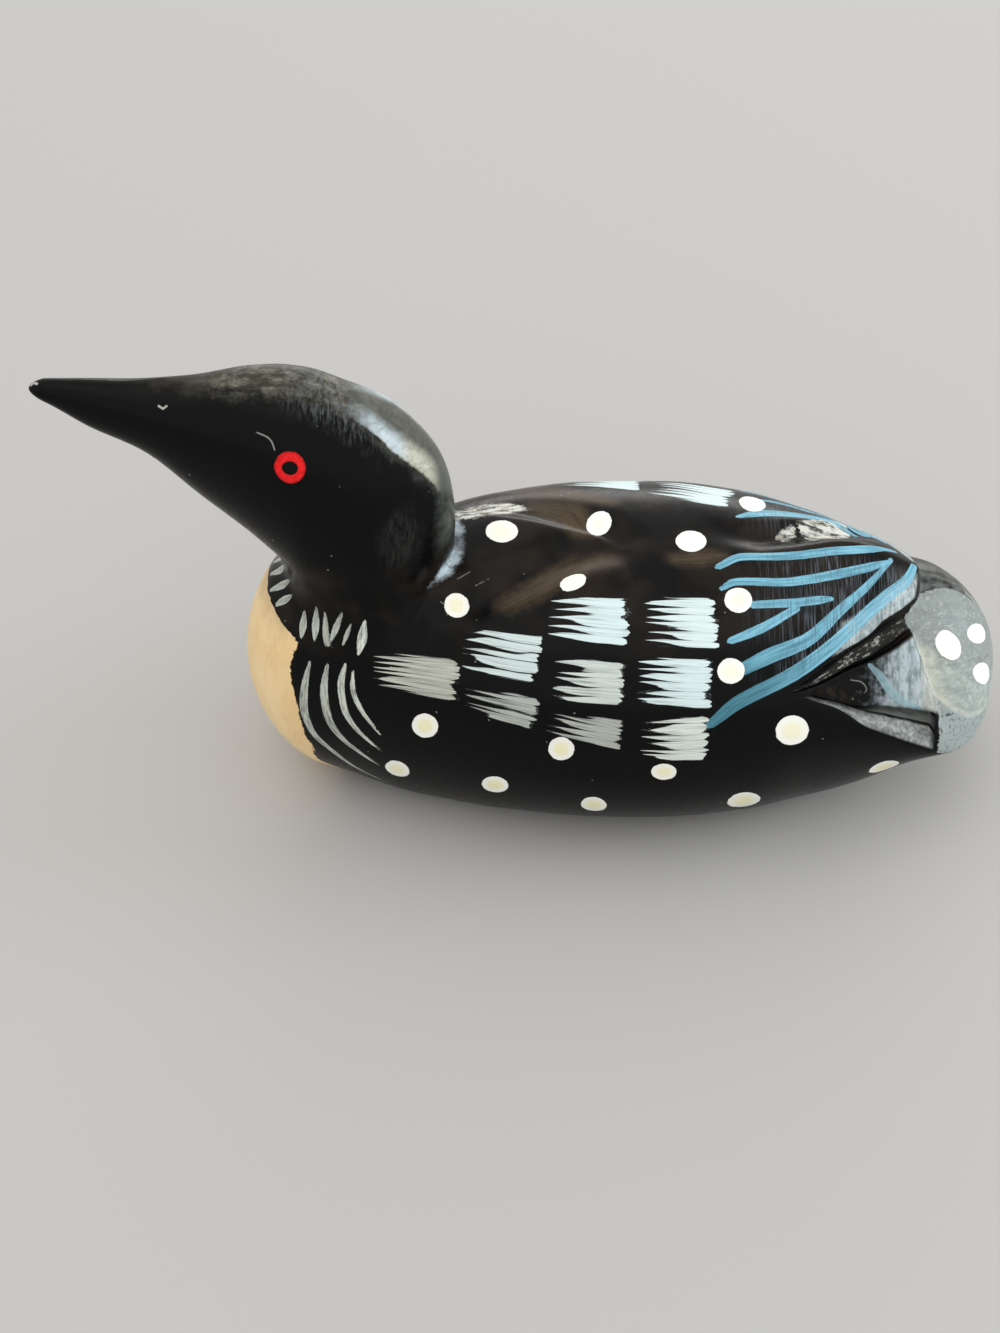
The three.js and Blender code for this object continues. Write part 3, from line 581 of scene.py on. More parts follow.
def paint_attributes(P, N):
    """named four-channel values for every vertex"""
    at, y, z = P[:, 0] - X0, P[:, 1], P[:, 2]
    deg = degrees_from_crest(at, y, z)
    signed = np.where(y < 0, -deg, deg)
    out = {}
    # dots
    dots = np.tile([3.0, 2.0, 0.0, 0.0], (len(P), 1))
    centres = place([d[0] for d in DOTS], [d[1] for d in DOTS])
    for i, ((_, _, long, short, tilt, cream), c) in enumerate(zip(DOTS, centres)):
        n, along, up = axes_at(c)
        q = P - c
        near = (np.abs(q).max(1) < 5.5) & (N @ n > 0.2)
        q = q[near]
        g = math.radians(tilt)
        u, v = q @ along, q @ up
        u, v = u * math.cos(g) + v * math.sin(g), -u * math.sin(g) + v * math.cos(g)
        ra, rb = long / 2, short / 2
        k0 = np.hypot(u / ra, v / rb)
        k1 = np.maximum(np.hypot(u / ra / ra, v / rb / rb), 1e-6)
        d = k0 * (k0 - 1) / k1
        rows = np.nonzero(near)[0]
        better = d < dots[rows, 0]
        dots[rows[better]] = np.stack([d, k0, np.full(len(d), (i * 0.137) % 1.0), np.full(len(d), cream)], 1)[better]
    out["dots"] = dots
    # feather dabs
    for layer in range(3):
        where = np.tile([-9.0, 0.0, 1.0, 0.0], (len(P), 1))
        look = np.tile([0.0, 0.0, 5.0, 0.0], (len(P), 1))
        best, second = np.full(len(P), 3.0), np.full(len(P), 3.0)
        for i, (which, a0, g0, a1, g1, w0, w1, groups, apart, opacity, tint) in enumerate(DABS):
            if which != layer:
                continue
            ends = place([a0, (a0 + a1) / 2, a1], [g0, (g0 + g1) / 2, g1])
            n = direction(ends[1])
            along = ends[2] - ends[0]
            length = np.linalg.norm(along)
            along = along / length
            across = np.cross(n, along)
            across /= np.linalg.norm(across)
            q = P - ends[1]
            near = np.nonzero((np.abs(q).max(1) < length) & (N @ n > 0.1))[0]
            q = q[near]
            u = (q @ along) / length + 0.5
            v = q @ across
            half = (w0 + (w1 - w0) * np.clip(u, 0, 1)) / 2
            box = np.maximum(np.abs(u - 0.5) * length - length / 2, np.abs(v) - half)
            better = box < best[near]
            rows = near[better]
            second[near] = np.where(better, best[near], np.minimum(second[near], box))
            best[rows] = box[better]
            where[rows] = np.stack([u, v, half, np.full(len(u), i + 1.0)], 1)[better]
            look[rows] = np.stack([np.full(len(u), opacity), np.full(len(u), tint), np.full(len(u), float(groups)), np.full(len(u), apart)], 1)[better]
        out["dab_%d" % layer] = where
        out["look_%d" % layer] = look
        best = np.where((second - best < 0.7) & (best > 0.15), np.maximum(best, 1.0), best)  # nothing where two in a layer meet
        out.setdefault("reach", np.zeros((len(P), 4)))[:, layer] = np.clip(best, -3, 3)
    # blue strokes
    for layer in range(2):
        chosen = [curve_3d(place(*zip(*line)), widths) for which, widths, line in BLUES if which == layer]
        out["blue_%d" % layer] = stroke_field(P, N, chosen)
    # dashes and stripes
    chosen = [curve_3d(place(*zip(*line)), widths) for widths, _, line in LINES]
    white = [0.0] + [k for _, k, _ in LINES]
    for y0, z0, y1, z1 in THROAT:
        ys, zs = np.array([y0, (y0 + y1) / 2, y1]), np.array([z0, (z0 + z1) / 2, z1])
        lo, hi = np.full(3, 20.0), np.full(3, 40.0)
        for _ in range(30):
            m = (lo + hi) / 2
            inside = field(m, ys, zs) < 0
            lo, hi = np.where(inside, lo, m), np.where(inside, m, hi)
        chosen.append(curve_3d(np.stack([lo + X0, ys, zs], 1), [0.25, 0.95, 0.35]))
        white.append(0.6)
    lines = stroke_field(P, N, chosen, 2.0)
    lines[:, 3] = np.asarray(white)[lines[:, 3].astype(int)]
    out["lines"] = lines
    chosen = [(w, line) for w, line in CHIPS] + [(w, place(*zip(*line))) for w, line in SCRATCHES]
    scratches = stroke_field(P, N, [curve_3d(line, [2 * w] * len(line)) for w, line in chosen], 2.0)
    scratches[:, 3] = np.asarray([0.0] + [w for w, _ in chosen])[scratches[:, 3].astype(int)]
    out["scratches"] = scratches
    out["warm_sheen"] = stroke_field(P, N, [curve_3d(place(*zip(*line)), widths) for widths, line in WARM_SHEENS], 4.0)
    # breast patch, grey of the tail, worn places and painted highlights
    breast = np.maximum(np.abs(y) - BREAST_HALF(z), z - BREAST_TOP - 0.02 * y * y * 0)
    breast = np.where(at > BREAST_BACK, 6.0, breast)
    tail = np.maximum.reduce([TAIL_GREY(at) - np.where(y < 0, deg, deg - 24.0 * smooth(0, 32, deg) - 9.0 * smooth(0, 12, deg)), deg - 92.0]) * DEGREE
    tail = np.maximum(tail, (TIPS(deg) - at) + 0.30)
    # lower feathers brushed with blue-white
    plate = strip(deg, [WING_EDGE(at), BAND_TOP(at), BAND_LOW(at), PLATE_TOP(at), PLATE_LOW(at)])
    amount = smooth(86.5, 91.5, at) * (1 - smooth(-0.1, 0.7, at - TIPS(deg)))
    out["areas"] = np.stack([breast, tail, np.clip(plate, -1, 6), amount], 1)
    slot = (deg - PLATE_LOW(at)) / (HULL_EDGE(at) - PLATE_LOW(at))
    amount = smooth(88.0, 94.0, at) * (1 - smooth(104.4, 105.0, at))
    out["cuts"] = np.stack([np.clip(slot, -1, 3), signed / 180, smooth(70, 20, deg), amount], 1)
    # worn places, painted sheens and painted highlights: facets, collar, wing rubbed across, head
    facets = np.minimum.reduce([inside_of(f, at, signed) for f in FACETS])
    facets = np.where(z < 37.5, facets, 3.0)
    right = [(a, -g) for a, g in COLLAR]
    collar = stroke_field(P, N, [curve_3d(place(*zip(*line)), [1.6, 2.1, 2.5, 2.5, 1.8, 0.5]) for line in (COLLAR, right)])[:, 0]
    # the wing rubbed across: scratches with a painted sheen
    wing_rub_and_sheen = smooth(79, 92, at) * (1 - smooth(-2.5, 0.0, at - TIPS(deg))) * smooth(2, 14, deg) * (1 - smooth(-9, -1, deg - WING_EDGE(at)))
    past = deg - WING_EDGE(at)
    # the pearly scumble along the wing's rear edge, partly a painted sheen
    out["reach"][:, 3] = smooth(90.5, 95.5, at) * (1 - smooth(-0.8, 0.2, at - TIPS(deg))) * smooth(-17, -9, past) * (1 - smooth(-1.5, -0.2, past))
    on_head = smooth(36.0, 39.5, z) * (1 - smooth(49.0, 51.0, at))
    out["wear_and_sheen"] = np.stack([np.clip(facets, -3, 3), np.clip(collar, -3, 3), wing_rub_and_sheen, on_head], 1)
    # eye
    side = np.where(y < 0, -1.0, 1.0)
    q = np.stack([at - EYE_AT, z - EYE_Z, np.abs(y) - EYE_Y], 1)
    v = q[:, 1] * 0.95 - q[:, 2] * 0.31
    r = np.hypot(q[:, 0] * 1.03, v * 0.95)
    cap = CAP_HALF(at) - np.abs(y) - 4.0 * (1 - smooth(40.5, 45.5, z)) + np.minimum(0.0, (at - 13.0) * 0.2)
    out["eye"] = np.stack([np.minimum(r, 6.0), np.clip(q[:, 0], -6, 6), np.clip(v, -6, 6), np.clip(np.where(at < 50, cap, -3.0), -3, 3)], 1)
    return out


# ---------------------------------------------------------------------------------------------
# Blender objects
# ---------------------------------------------------------------------------------------------
V, QUADS, ENDS, PLANES, ANGLES = make_mesh(1.0)


def vertex_normals(v, faces):
    n = np.zeros_like(v)
    a, b, c, d = (v[faces[:, i]] for i in range(4))
    f = np.cross(c - a, d - b)
    for i in range(4):
        np.add.at(n, faces[:, i], f)
    return n / np.maximum(np.linalg.norm(n, axis=1), 1e-12)[:, None]


NORMALS = vertex_normals(V, QUADS)
mesh = bpy.data.meshes.new("carved_loon_surface")
mesh.from_pydata((V / 1000).tolist(), [], QUADS.tolist() + ENDS.tolist())
mesh.update()
mesh.polygons.foreach_set("use_smooth", np.ones(len(mesh.polygons), bool))
for name, values in paint_attributes(V, NORMALS).items():
    layer = mesh.attributes.new(name, "FLOAT_COLOR", "POINT")
    layer.data.foreach_set("color", np.ascontiguousarray(values, dtype=np.float32).ravel())
bird = bpy.data.objects.new("loon", mesh)
bpy.context.scene.collection.objects.link(bird)

# ---------------------------------------------------------------------------------------------
# The paint
# ---------------------------------------------------------------------------------------------
mat = bpy.data.materials.new("painted_loon")
mat.use_nodes = True
TREE = mat.node_tree
SHADER = TREE.nodes["Principled BSDF"]


def link(value, socket):
    if isinstance(value, Value):
        TREE.links.new(value.socket, socket)
    else:
        socket.default_value = value


class Value:
    """an output of a node that can be used in sums"""

    def __init__(self, socket):
        self.socket = socket

    def __add__(self, other):
        return calc("ADD", self, other)

    def __radd__(self, other):
        return calc("ADD", other, self)

    def __sub__(self, other):
        return calc("SUBTRACT", self, other)

    def __rsub__(self, other):
        return calc("SUBTRACT", other, self)

    def __mul__(self, other):
        return calc("MULTIPLY", self, other)

    def __rmul__(self, other):
        return calc("MULTIPLY", other, self)

    def __truediv__(self, other):
        return calc("DIVIDE", self, other)


def calc(operation, *values, clamp=False):
    n = TREE.nodes.new("ShaderNodeMath")
    n.operation = operation
    n.use_clamp = clamp
    for socket, value in zip(n.inputs, values):
        link(value, socket)
    return Value(n.outputs[0])


def low(a, b):
    return calc("MINIMUM", a, b)


def high(a, b):
    return calc("MAXIMUM", a, b)


def size_of(a):
    return calc("ABSOLUTE", a)


def ramp(value, start, end, to0=0.0, to1=1.0, shape="SMOOTHSTEP"):
    n = TREE.nodes.new("ShaderNodeMapRange")
    n.interpolation_type = shape
    for key, v in (("Value", value), ("From Min", start), ("From Max", end), ("To Min", to0), ("To Max", to1)):
        link(v, n.inputs[key])
    return Value(n.outputs["Result"])


def blend(fac, a, b):
    n = TREE.nodes.new("ShaderNodeMix")
    n.data_type = "RGBA"
    link(fac, n.inputs[0])
    for value, socket in ((a, n.inputs[6]), (b, n.inputs[7])):
        link(value if isinstance(value, Value) else (*value, 1.0), socket)
    return Value(n.outputs[2])


def mixed(fac, a, b):
    """a number between two numbers"""
    n = TREE.nodes.new("ShaderNodeMix")
    n.data_type = "FLOAT"
    link(fac, n.inputs[0])
    link(a, n.inputs[2])
    link(b, n.inputs[3])
    return Value(n.outputs[0])


def vector(x, y, z):
    n = TREE.nodes.new("ShaderNodeCombineXYZ")
    for value, socket in zip((x, y, z), n.inputs):
        link(value, socket)
    return Value(n.outputs[0])


def noise(place_at, scale, detail=2.0, rough=0.5, warp=0.0):
    n = TREE.nodes.new("ShaderNodeTexNoise")
    link(place_at, n.inputs["Vector"])
    n.inputs["Scale"].default_value = scale
    n.inputs["Detail"].default_value = detail
    n.inputs["Roughness"].default_value = rough
    n.inputs["Distortion"].default_value = warp
    return Value(n.outputs[0])


def random_of(x, y, z=0.0):
    n = TREE.nodes.new("ShaderNodeTexWhiteNoise")
    n.noise_dimensions = "3D"
    link(vector(x, y, z), n.inputs["Vector"])
    return Value(n.outputs["Value"])


def attribute(name):
    n = TREE.nodes.new("ShaderNodeAttribute")
    n.attribute_name = name
    split = TREE.nodes.new("ShaderNodeSeparateColor")
    TREE.links.new(n.outputs["Color"], split.inputs[0])
    return [Value(split.outputs[i]) for i in range(3)] + [Value(n.outputs["Alpha"])]


coords = TREE.nodes.new("ShaderNodeTexCoord")
scaled = TREE.nodes.new("ShaderNodeVectorMath")
scaled.operation = "SCALE"
TREE.links.new(coords.outputs["Object"], scaled.inputs[0])
scaled.inputs["Scale"].default_value = 1000.0
MM = Value(scaled.outputs[0])
split_mm = TREE.nodes.new("ShaderNodeSeparateXYZ")
TREE.links.new(MM.socket, split_mm.inputs[0])
MX, MY, MZ = (Value(s) for s in split_mm.outputs)

slot_q, turn, topness, slot_amount = attribute("cuts")
breast_d, tail_d, plate_q, band_amount = attribute("areas")
AT = MX - X0
facet_d, collar_d, wing_rubbed_and_sheen, on_head = attribute("wear_and_sheen")

# --- gloss black, with a brownish reflection painted in over the top of the back
speck = noise(MM, 4.5, 2, 0.7)
across = noise(MM, 2.2, 3, 0.65)
fine_noise = noise(MM, 1.1, 3, 0.6)
broad_noise = noise(MM, 0.16, 2, 0.55)
mottle = noise(MM, 0.55, 3, 0.65)
from_crest = size_of(turn) * 180.0
# a brownish sheen painted on the upward-facing back, none on the head: painted reflection
top_sheen_painted = ramp(broad_noise, 0.40, 0.66) * ramp(topness, 0.2, 1.0) * (1.0 - on_head) * 0.75
colour = blend(top_sheen_painted, (0.0024, 0.0026, 0.0028), (0.0170, 0.0120, 0.0085))
# brownish sheens painted along the back: painted reflections in the gloss
warm_sheen_d, warm_sheen_u, warm_sheen_v, _ = attribute("warm_sheen")
brushed = noise(vector(warm_sheen_u * 0.25, warm_sheen_v * 2.6, 0.0), 1.0, 3, 0.65)
warm_sheen = ramp(warm_sheen_d + (mottle - 0.5) * 2.0, 1.3, -1.1) * ramp(brushed, 0.25, 0.65, 0.45, 1.0)
colour = blend(warm_sheen * 0.85, colour, (0.086, 0.062, 0.038))
rough = mixed(ramp(fine_noise, 0.3, 0.75), 0.19, 0.29)
rough = mixed(warm_sheen, rough, 0.34)
height = fine_noise * 0.10
# tiny pale flecks in the gloss
fleck = TREE.nodes.new("ShaderNodeTexVoronoi")
TREE.links.new(MM.socket, fleck.inputs["Vector"])
fleck.inputs["Scale"].default_value = 0.30
colour = blend(ramp(Value(fleck.outputs["Distance"]), 0.045, 0.028) * 0.45, colour, (0.34, 0.35, 0.33))
# the head was handled most: a dull brownish cap with silver rubbed patches, partly real wear and partly painted sheen;
# hair-fine scratches below it; a painted sheen on the nape and in the hollow behind the cheek; and a highlight painted
# down both sides of the back of the head
radius, ex, ey, cap_d = attribute("eye")
hair = noise(vector(MX * 3.0, MY * 0.6, MZ * 0.55), 1.0, 3, 0.7)
silver = noise(vector(MX * 0.5, MY * 0.9, MZ * 1.6), 1.0, 4, 0.7)
cap_wear_and_sheen = ramp(cap_d + (hair - 0.5) * 1.0 + (mottle - 0.5) * 2.2, -1.0, 1.2) * on_head * ramp(AT + (mottle - 0.5) * 9.0, 12.0, 20.0)
rubbed_cap_and_sheen = ramp(silver + (across - 0.5) * 0.22, 0.38, 0.76) * ramp(AT, 17.0, 26.0)
cap_wear_and_sheen_colour = blend(rubbed_cap_and_sheen, (0.046, 0.042, 0.031), (0.25, 0.25, 0.205))
# the back of the cap: a grey-green sheen painted in
cap_wear_and_sheen_colour = blend(ramp(AT, 35.0, 39.5) * 0.7, cap_wear_and_sheen_colour, (0.105, 0.115, 0.098))
colour = blend(cap_wear_and_sheen * 0.85, colour, cap_wear_and_sheen_colour)
scored = ramp(hair, 0.44, 0.64) * ramp(cap_d + (mottle - 0.5) * 2.0, -2.7, -0.3) * ramp(AT, 28.0, 33.5) * ramp(AT, 41.0, 36.5) * on_head
colour = blend(scored * 0.62, colour, (0.105, 0.12, 0.128))
# a grey-green sheen painted down the nape
nape_sheen = ramp(AT + (mottle - 0.5) * 1.6, 45.5, 47.5) * on_head * ramp(silver, 0.30, 0.60, 0.45, 1.0)
colour = blend(nape_sheen * 0.80, colour, (0.085, 0.095, 0.082))
# a faint grey sheen painted into the hollow behind the cheek
hollow_sheen = calc("SQRT", (AT - 42.1) * (AT - 42.1) + (MZ - 42.0) * (MZ - 42.0) * 0.45)
colour = blend(ramp(hollow_sheen + (mottle - 0.5) * 2.4, 3.3, 1.2) * ramp(hair, 0.35, 0.65) * on_head * 0.5, colour, (0.035, 0.038, 0.033))
# a highlight painted down both sides of the back of the head
edge_at = cap_d + (across - 0.5) * 0.30
painted_edge_highlight = ramp(edge_at, -0.12, 0.12) * ramp(edge_at, 2.7, 0.5) * on_head * ramp(AT, 36.2, 40.5) * ramp(AT, 47.0, 45.2)
colour = blend(painted_edge_highlight * ramp(silver, 0.28, 0.58, 0.55, 0.92), colour, blend(ramp(AT, 41.6, 43.8), (0.56, 0.66, 0.71), (0.55, 0.56, 0.46)))
rough = mixed(cap_wear_and_sheen, mixed(on_head * ramp(fine_noise, 0.35, 0.65), rough, 0.32), 0.36)
# the wing, rubbed across: thin bluish grey scratches that also carry a painted sheen, and a pearly scumble along its
# rear edge, partly a painted sheen
score = noise(vector(AT * 5.2, turn * 8.0, 0.0), 1.0, 3, 0.75)
scratch_and_sheen = ramp(score, 0.47, 0.64) * wing_rubbed_and_sheen * ramp(broad_noise, 0.28, 0.52)
colour = blend(scratch_and_sheen * 0.80, colour, (0.105, 0.130, 0.155))
reach = attribute("reach")
pearl_and_sheen = ramp(reach[3] + (mottle - 0.5) * 0.5, 0.12, 0.75)
colour = blend(pearl_and_sheen * ramp(score, 0.30, 0.62, 0.45, 0.95), colour, blend(ramp(fine_noise, 0.35, 0.65), (0.30, 0.37, 0.40), (0.54, 0.61, 0.62)))
rough = mixed(wing_rubbed_and_sheen * 0.6, rough, 0.36)
# grey showing through where facets stand proud, partly a painted highlight, and a highlight painted along the crease
# round the foot of the neck
ragged = across - 0.5
planed = noise(vector(AT * 0.42, turn * 95.0, 3.0), 1.0, 3, 0.62)
bare_and_glint = ramp(facet_d + ragged * 1.3 + (speck - 0.5) * 0.4, 0.24, -0.06) * ramp(planed + (across - 0.5) * 0.35, 0.36, 0.52, 0.15, 1.0)
colour = blend(bare_and_glint * 0.90, colour, blend(ramp(planed + (mottle - 0.5) * 0.5, 0.42, 0.60), (0.36, 0.365, 0.33), (0.74, 0.75, 0.69)))
# a bright streak painted along the crease at the foot of the neck: painted highlight
neck_foot_highlight = ramp(collar_d + ragged * 0.6 + (mottle - 0.5) * 1.3, 0.10, -0.95)
colour = blend(neck_foot_highlight * ramp(silver + (speck - 0.5) * 0.3, 0.34, 0.56, 0.25, 0.95) * ramp(from_crest, 1.0, 9.0, 0.45, 1.0), colour, blend(ramp(MZ, 36.5, 38.5), (0.50, 0.60, 0.66), (0.50, 0.51, 0.42)))
rough = mixed(high(bare_and_glint, neck_foot_highlight), rough, 0.33)

# --- rough grey in the cuts: highlights painted in streaks along the band under the wing, a grey floor to the slot, and its ridge partly bare grey wood, partly a painted highlight
band = ramp(plate_q, 1.05, 1.25) * ramp(plate_q, 2.0, 1.75) * band_amount
streaky = noise(vector(AT * 0.55, plate_q * 4.0, 0.0), 1.0, 4, 0.66)
colour = blend(band * 0.7, colour, (0.022, 0.022, 0.020))
# pale streaks along the band: painted highlights
band = band * ramp(streaky + (across - 0.5) * 0.45, 0.52, 0.66)
colour = blend(band * 0.75, colour, (0.50, 0.51, 0.48))
streaky = noise(vector(AT * 0.40, slot_q * 6.0, 4.0), 1.0, 4, 0.60)
floor_ = ramp(slot_q, 0.12, 0.18) * ramp(slot_q, 0.47, 0.40) * slot_amount * ramp(AT, 95.0, 99.0)
colour = blend(floor_ * ramp(streaky, 0.30, 0.60, 0.45, 0.9), colour, (0.135, 0.145, 0.135))
# the slot's ridge: bare grey with a painted highlight
ridge = ramp(slot_q + (streaky - 0.5) * 0.12, 0.56, 0.64) * ramp(slot_q, 1.02, 0.93) * slot_amount
colour = blend(ridge * ramp(streaky, 0.30, 0.62, 0.40, 0.92), colour, blend(ramp(across, 0.4, 0.62), (0.24, 0.265, 0.265), (0.42, 0.45, 0.44)))
worn_and_glint = high(high(band, floor_ * 0.5), ridge * 0.6)
rough = mixed(worn_and_glint, rough, 0.42)

# --- cream breast patch with fine cracks
wobble = (fine_noise - 0.5) * 0.5 + (speck - 0.5) * 0.10
breast = ramp(breast_d + wobble, 0.05, -0.05)
cream = blend(ramp(broad_noise, 0.35, 0.7), (0.88, 0.67, 0.38), (0.82, 0.59, 0.31))
cream = blend(ramp(noise(vector(MX * 2.5, MY * 2.5, MZ * 0.35), 1.0, 3, 0.6), 0.5, 0.85) * 0.5, cream, (0.50, 0.36, 0.19))
cream = blend(ramp(MZ + (mottle - 0.5) * 5.0, 25.5, 29.0) * 0.45, cream, (0.42, 0.31, 0.18))
colour = blend(breast, colour, cream)
rough = mixed(breast, rough, 0.38)
height = height + breast * 0.35

# --- grey scumble on the tail, thin beyond its edge with a painted sheen in it, a cream highlight painted beside the step and along the tail's front edge, cracked low at the side
scrub = noise(vector(AT * 0.30, MY * 0.8 + MZ * 0.4, MZ * 0.7), 1.0, 5, 0.62)
# thin grey scumble past the tail's edge, partly a painted sheen
halo_and_sheen = ramp(tail_d + (mottle - 0.5) * 1.6, 2.8, 0.2) * ramp(AT, 102.8, 103.6) * ramp(from_crest, 74.0, 66.0)
halo_and_sheen = high(halo_and_sheen, ramp(from_crest + (mottle - 0.5) * 14.0, 24.0, 12.0) * ramp(AT, 102.8, 103.6) * ramp(AT, 109.5, 105.5))
colour = blend(halo_and_sheen * ramp(scrub, 0.30, 0.60) * 0.8, colour, (0.145, 0.158, 0.150))
tail = ramp(tail_d + (speck - 0.5) * 0.4 + (fine_noise - 0.5) * 0.7, 0.10, -0.10)
side_facet = ramp(from_crest - 66.4 - (AT - 105.2) * 1.9 + (fine_noise - 0.5) * 2.0, -0.9, 0.9)
tail_colour = blend(ramp(from_crest + (scrub - 0.5) * 30.0, 30.0, 62.0), (0.27, 0.31, 0.305), (0.41, 0.47, 0.445))
rubs = noise(vector(AT * 1.1 + MY * 0.8, MY * 1.1 - AT * 0.5, MZ * 2.4), 1.0, 4, 0.68)
tail_colour = blend(ramp(scrub, 0.60, 0.36) * 0.45, tail_colour, (0.19, 0.22, 0.215))
tail_colour = blend(ramp(rubs, 0.50, 0.34) * 0.40, tail_colour, (0.20, 0.23, 0.225))
tail_colour = blend(ramp(rubs, 0.54, 0.68) * 0.45, tail_colour, (0.60, 0.66, 0.62))
tail_colour = blend(ramp(speck, 0.52, 0.72) * 0.3, tail_colour, (0.56, 0.60, 0.57))
# cream highlight painted on the rim beside the step
tail_colour = blend(ramp(tail_d + (mottle - 0.5) * 2.0, -2.6, -0.5) * ramp(from_crest, 34.0, 44.0) * 0.45, tail_colour, (0.60, 0.61, 0.50))
tail_colour = blend(side_facet * 0.85, tail_colour, (0.31, 0.365, 0.375))
tail_colour = blend(ramp(size_of(from_crest - 66.4 - (AT - 105.2) * 1.9 + 2.2), 2.4, 0.4) * ramp(AT, 103.8, 105.5) * ramp(mottle, 0.36, 0.60) * 0.45, tail_colour, (0.62, 0.64, 0.56))
# cream glint painted along the tail's front edge
tail_colour = blend(ramp(AT + (across - 0.5) * 1.6, 105.4, 104.3) * ramp(from_crest, 36.0, 46.0) * ramp(fine_noise, 0.38, 0.62) * 0.65, tail_colour, (0.62, 0.63, 0.53))
crackle = TREE.nodes.new("ShaderNodeTexVoronoi")
crackle.feature = "DISTANCE_TO_EDGE"
TREE.links.new(MM.socket, crackle.inputs["Vector"])
crackle.inputs["Scale"].default_value = 0.95
crack = ramp(Value(crackle.outputs["Distance"]) + (speck - 0.5) * 0.08, 0.045, 0.010)
tail_colour = blend(crack * side_facet * ramp(across, 0.42, 0.58) * 0.85, tail_colour, (0.03, 0.035, 0.035))
colour = blend(tail * 0.96, colour, tail_colour)
rough = mixed(tail, rough, 0.36)
height = height + tail * (0.2 + 0.15 * scrub)

# --- pearly blue-white brushed over the lower feathers, thicker towards their edge
lower = ramp(plate_q, 3.0, 3.08) * ramp(plate_q, 4.02, 3.95) * band_amount
brushed = noise(vector(AT * 1.6, MZ * 0.35, MY * 0.35), 1.0, 4, 0.60)
cover = lower * ramp(AT + (fine_noise - 0.5) * 6.0 + (brushed - 0.5) * 3.0, 95.5, 99.5) * ramp(mottle + (brushed - 0.5) * 0.5, 0.30, 0.60, 0.62, 1.0)
pearly = blend(ramp(AT + (fine_noise - 0.5) * 5.0, 96.0, 102.0), (0.13, 0.165, 0.180), (0.46, 0.55, 0.57))
pearly = blend(ramp(mottle, 0.50, 0.68) * 0.35, pearly, (0.42, 0.41, 0.56))
colour = blend(cover * ramp(brushed, 0.28, 0.60, 0.5, 0.9), colour, pearly)
# a cream glint painted along the lower feathers' edge next to the tail: painted highlight
colour = blend(lower * ramp(AT + (across - 0.5) * 2.0, 102.6, 104.0) * 0.45, colour, (0.50, 0.50, 0.40))
stain = lower * ramp(AT, 98.0, 92.0) * ramp(fine_noise, 0.45, 0.7)
colour = blend(stain * 0.6, colour, (0.030, 0.021, 0.013))

# --- long blue strokes: whichever of the two layers is nearer
first, second = attribute("blue_0"), attribute("blue_1")
nearer = calc("LESS_THAN", second[0], first[0])
d, u, v, number = (mixed(nearer, f, s) for f, s in zip(first, second))
number = number + nearer * 20.0
bristle = noise(vector(u * 0.22, v * 3.6, number * 7.3), 1.0, 3, 0.62)
edge = noise(vector(u * 1.4, v * 0.7, number * 3.1), 1.0, 1, 0.5)
body_ = ramp(d + (edge - 0.5) * 0.08, 0.05, -0.05)
strength = body_ * ramp(bristle, 0.26, 0.56, 0.74, 0.97) * (1.0 - scratch_and_sheen * 0.70) * (1.0 - lower * 0.30)
blue = blend(ramp(bristle, 0.30, 0.75), (0.13, 0.35, 0.47), (0.25, 0.55, 0.71))
blue = blend(ramp(AT, 94.0, 80.0) * ramp(from_crest, 44.0, 55.0) * 0.85, blue, (0.050, 0.185, 0.245))
blue = blend(lower * 0.75, blue, (0.25, 0.36, 0.38))
colour = blend(strength, colour, blue)
rough = mixed(strength, rough, 0.36)
height = height + body_ * (0.25 + 0.35 * bristle)

# --- feather dabs: whichever of the three layers is nearest
use_1 = calc("LESS_THAN", reach[1], low(reach[0], reach[2]))
use_2 = calc("LESS_THAN", reach[2], low(reach[0], reach[1]))
places = [attribute("dab_%d" % i) for i in range(3)]
looks = [attribute("look_%d" % i) for i in range(3)]
u, v, half, number = (mixed(use_2, mixed(use_1, a, b), c) for a, b, c in zip(*places))
opacity, tint, groups, apart = (mixed(use_2, mixed(use_1, a, b), c) for a, b, c in zip(*looks))
gate = low(low(reach[0], reach[1]), reach[2])
bend = (noise(vector(u * 1.6, v * 0.45, number * 5.7), 1.0, 0, 0.5) - 0.5) * 0.9
slip = noise(vector(v * 1.1, number * 9.1, 0.0), 1.0, 0, 0.5) - 0.5
cell = (v / half * 0.5 + 0.5) * groups + bend + slip * 1.1
which = calc("FLOOR", cell)
off = size_of(calc("FRACT", cell) - 0.5) * 2.0
r1, r2, r3 = (random_of(which, number, k) for k in (1.0, 2.0, 3.0))
bristle = noise(vector(u * 1.3, v * 5.5, number * 4.4), 1.0, 3, 0.65)
coarse = noise(vector(u * 2.2, v * 2.0, number * 2.9), 1.0, 1, 0.6)
start = r1 * 0.17 - 0.03
grown = calc("POWER", calc("MAXIMUM", (u - start) / (0.38 + r2 * 0.26), 0.0), 0.76)
grown = low(grown, mixed(ramp(u, 0.40, 0.70), apart * (0.90 + r3 * 0.16), apart * 2.2 - 0.95))
left = ramp(grown - off + (bristle - 0.5) * 0.34, -0.02, 0.10)
lobe = off * off
end_at = 1.03 - lobe * 0.02 - lobe * lobe * 0.055 - r3 * 0.10 - (coarse - 0.5) * 0.12
right = ramp(end_at - u + (bristle - 0.5) * 0.05, -0.004, 0.008) * ramp(u, 1.035, 1.02) * ramp(u, -0.01, 0.01)
rim = ramp(size_of(v) - half + (coarse - 0.5) * 0.42 + (bristle - 0.5) * 0.3, 0.05, -0.05)
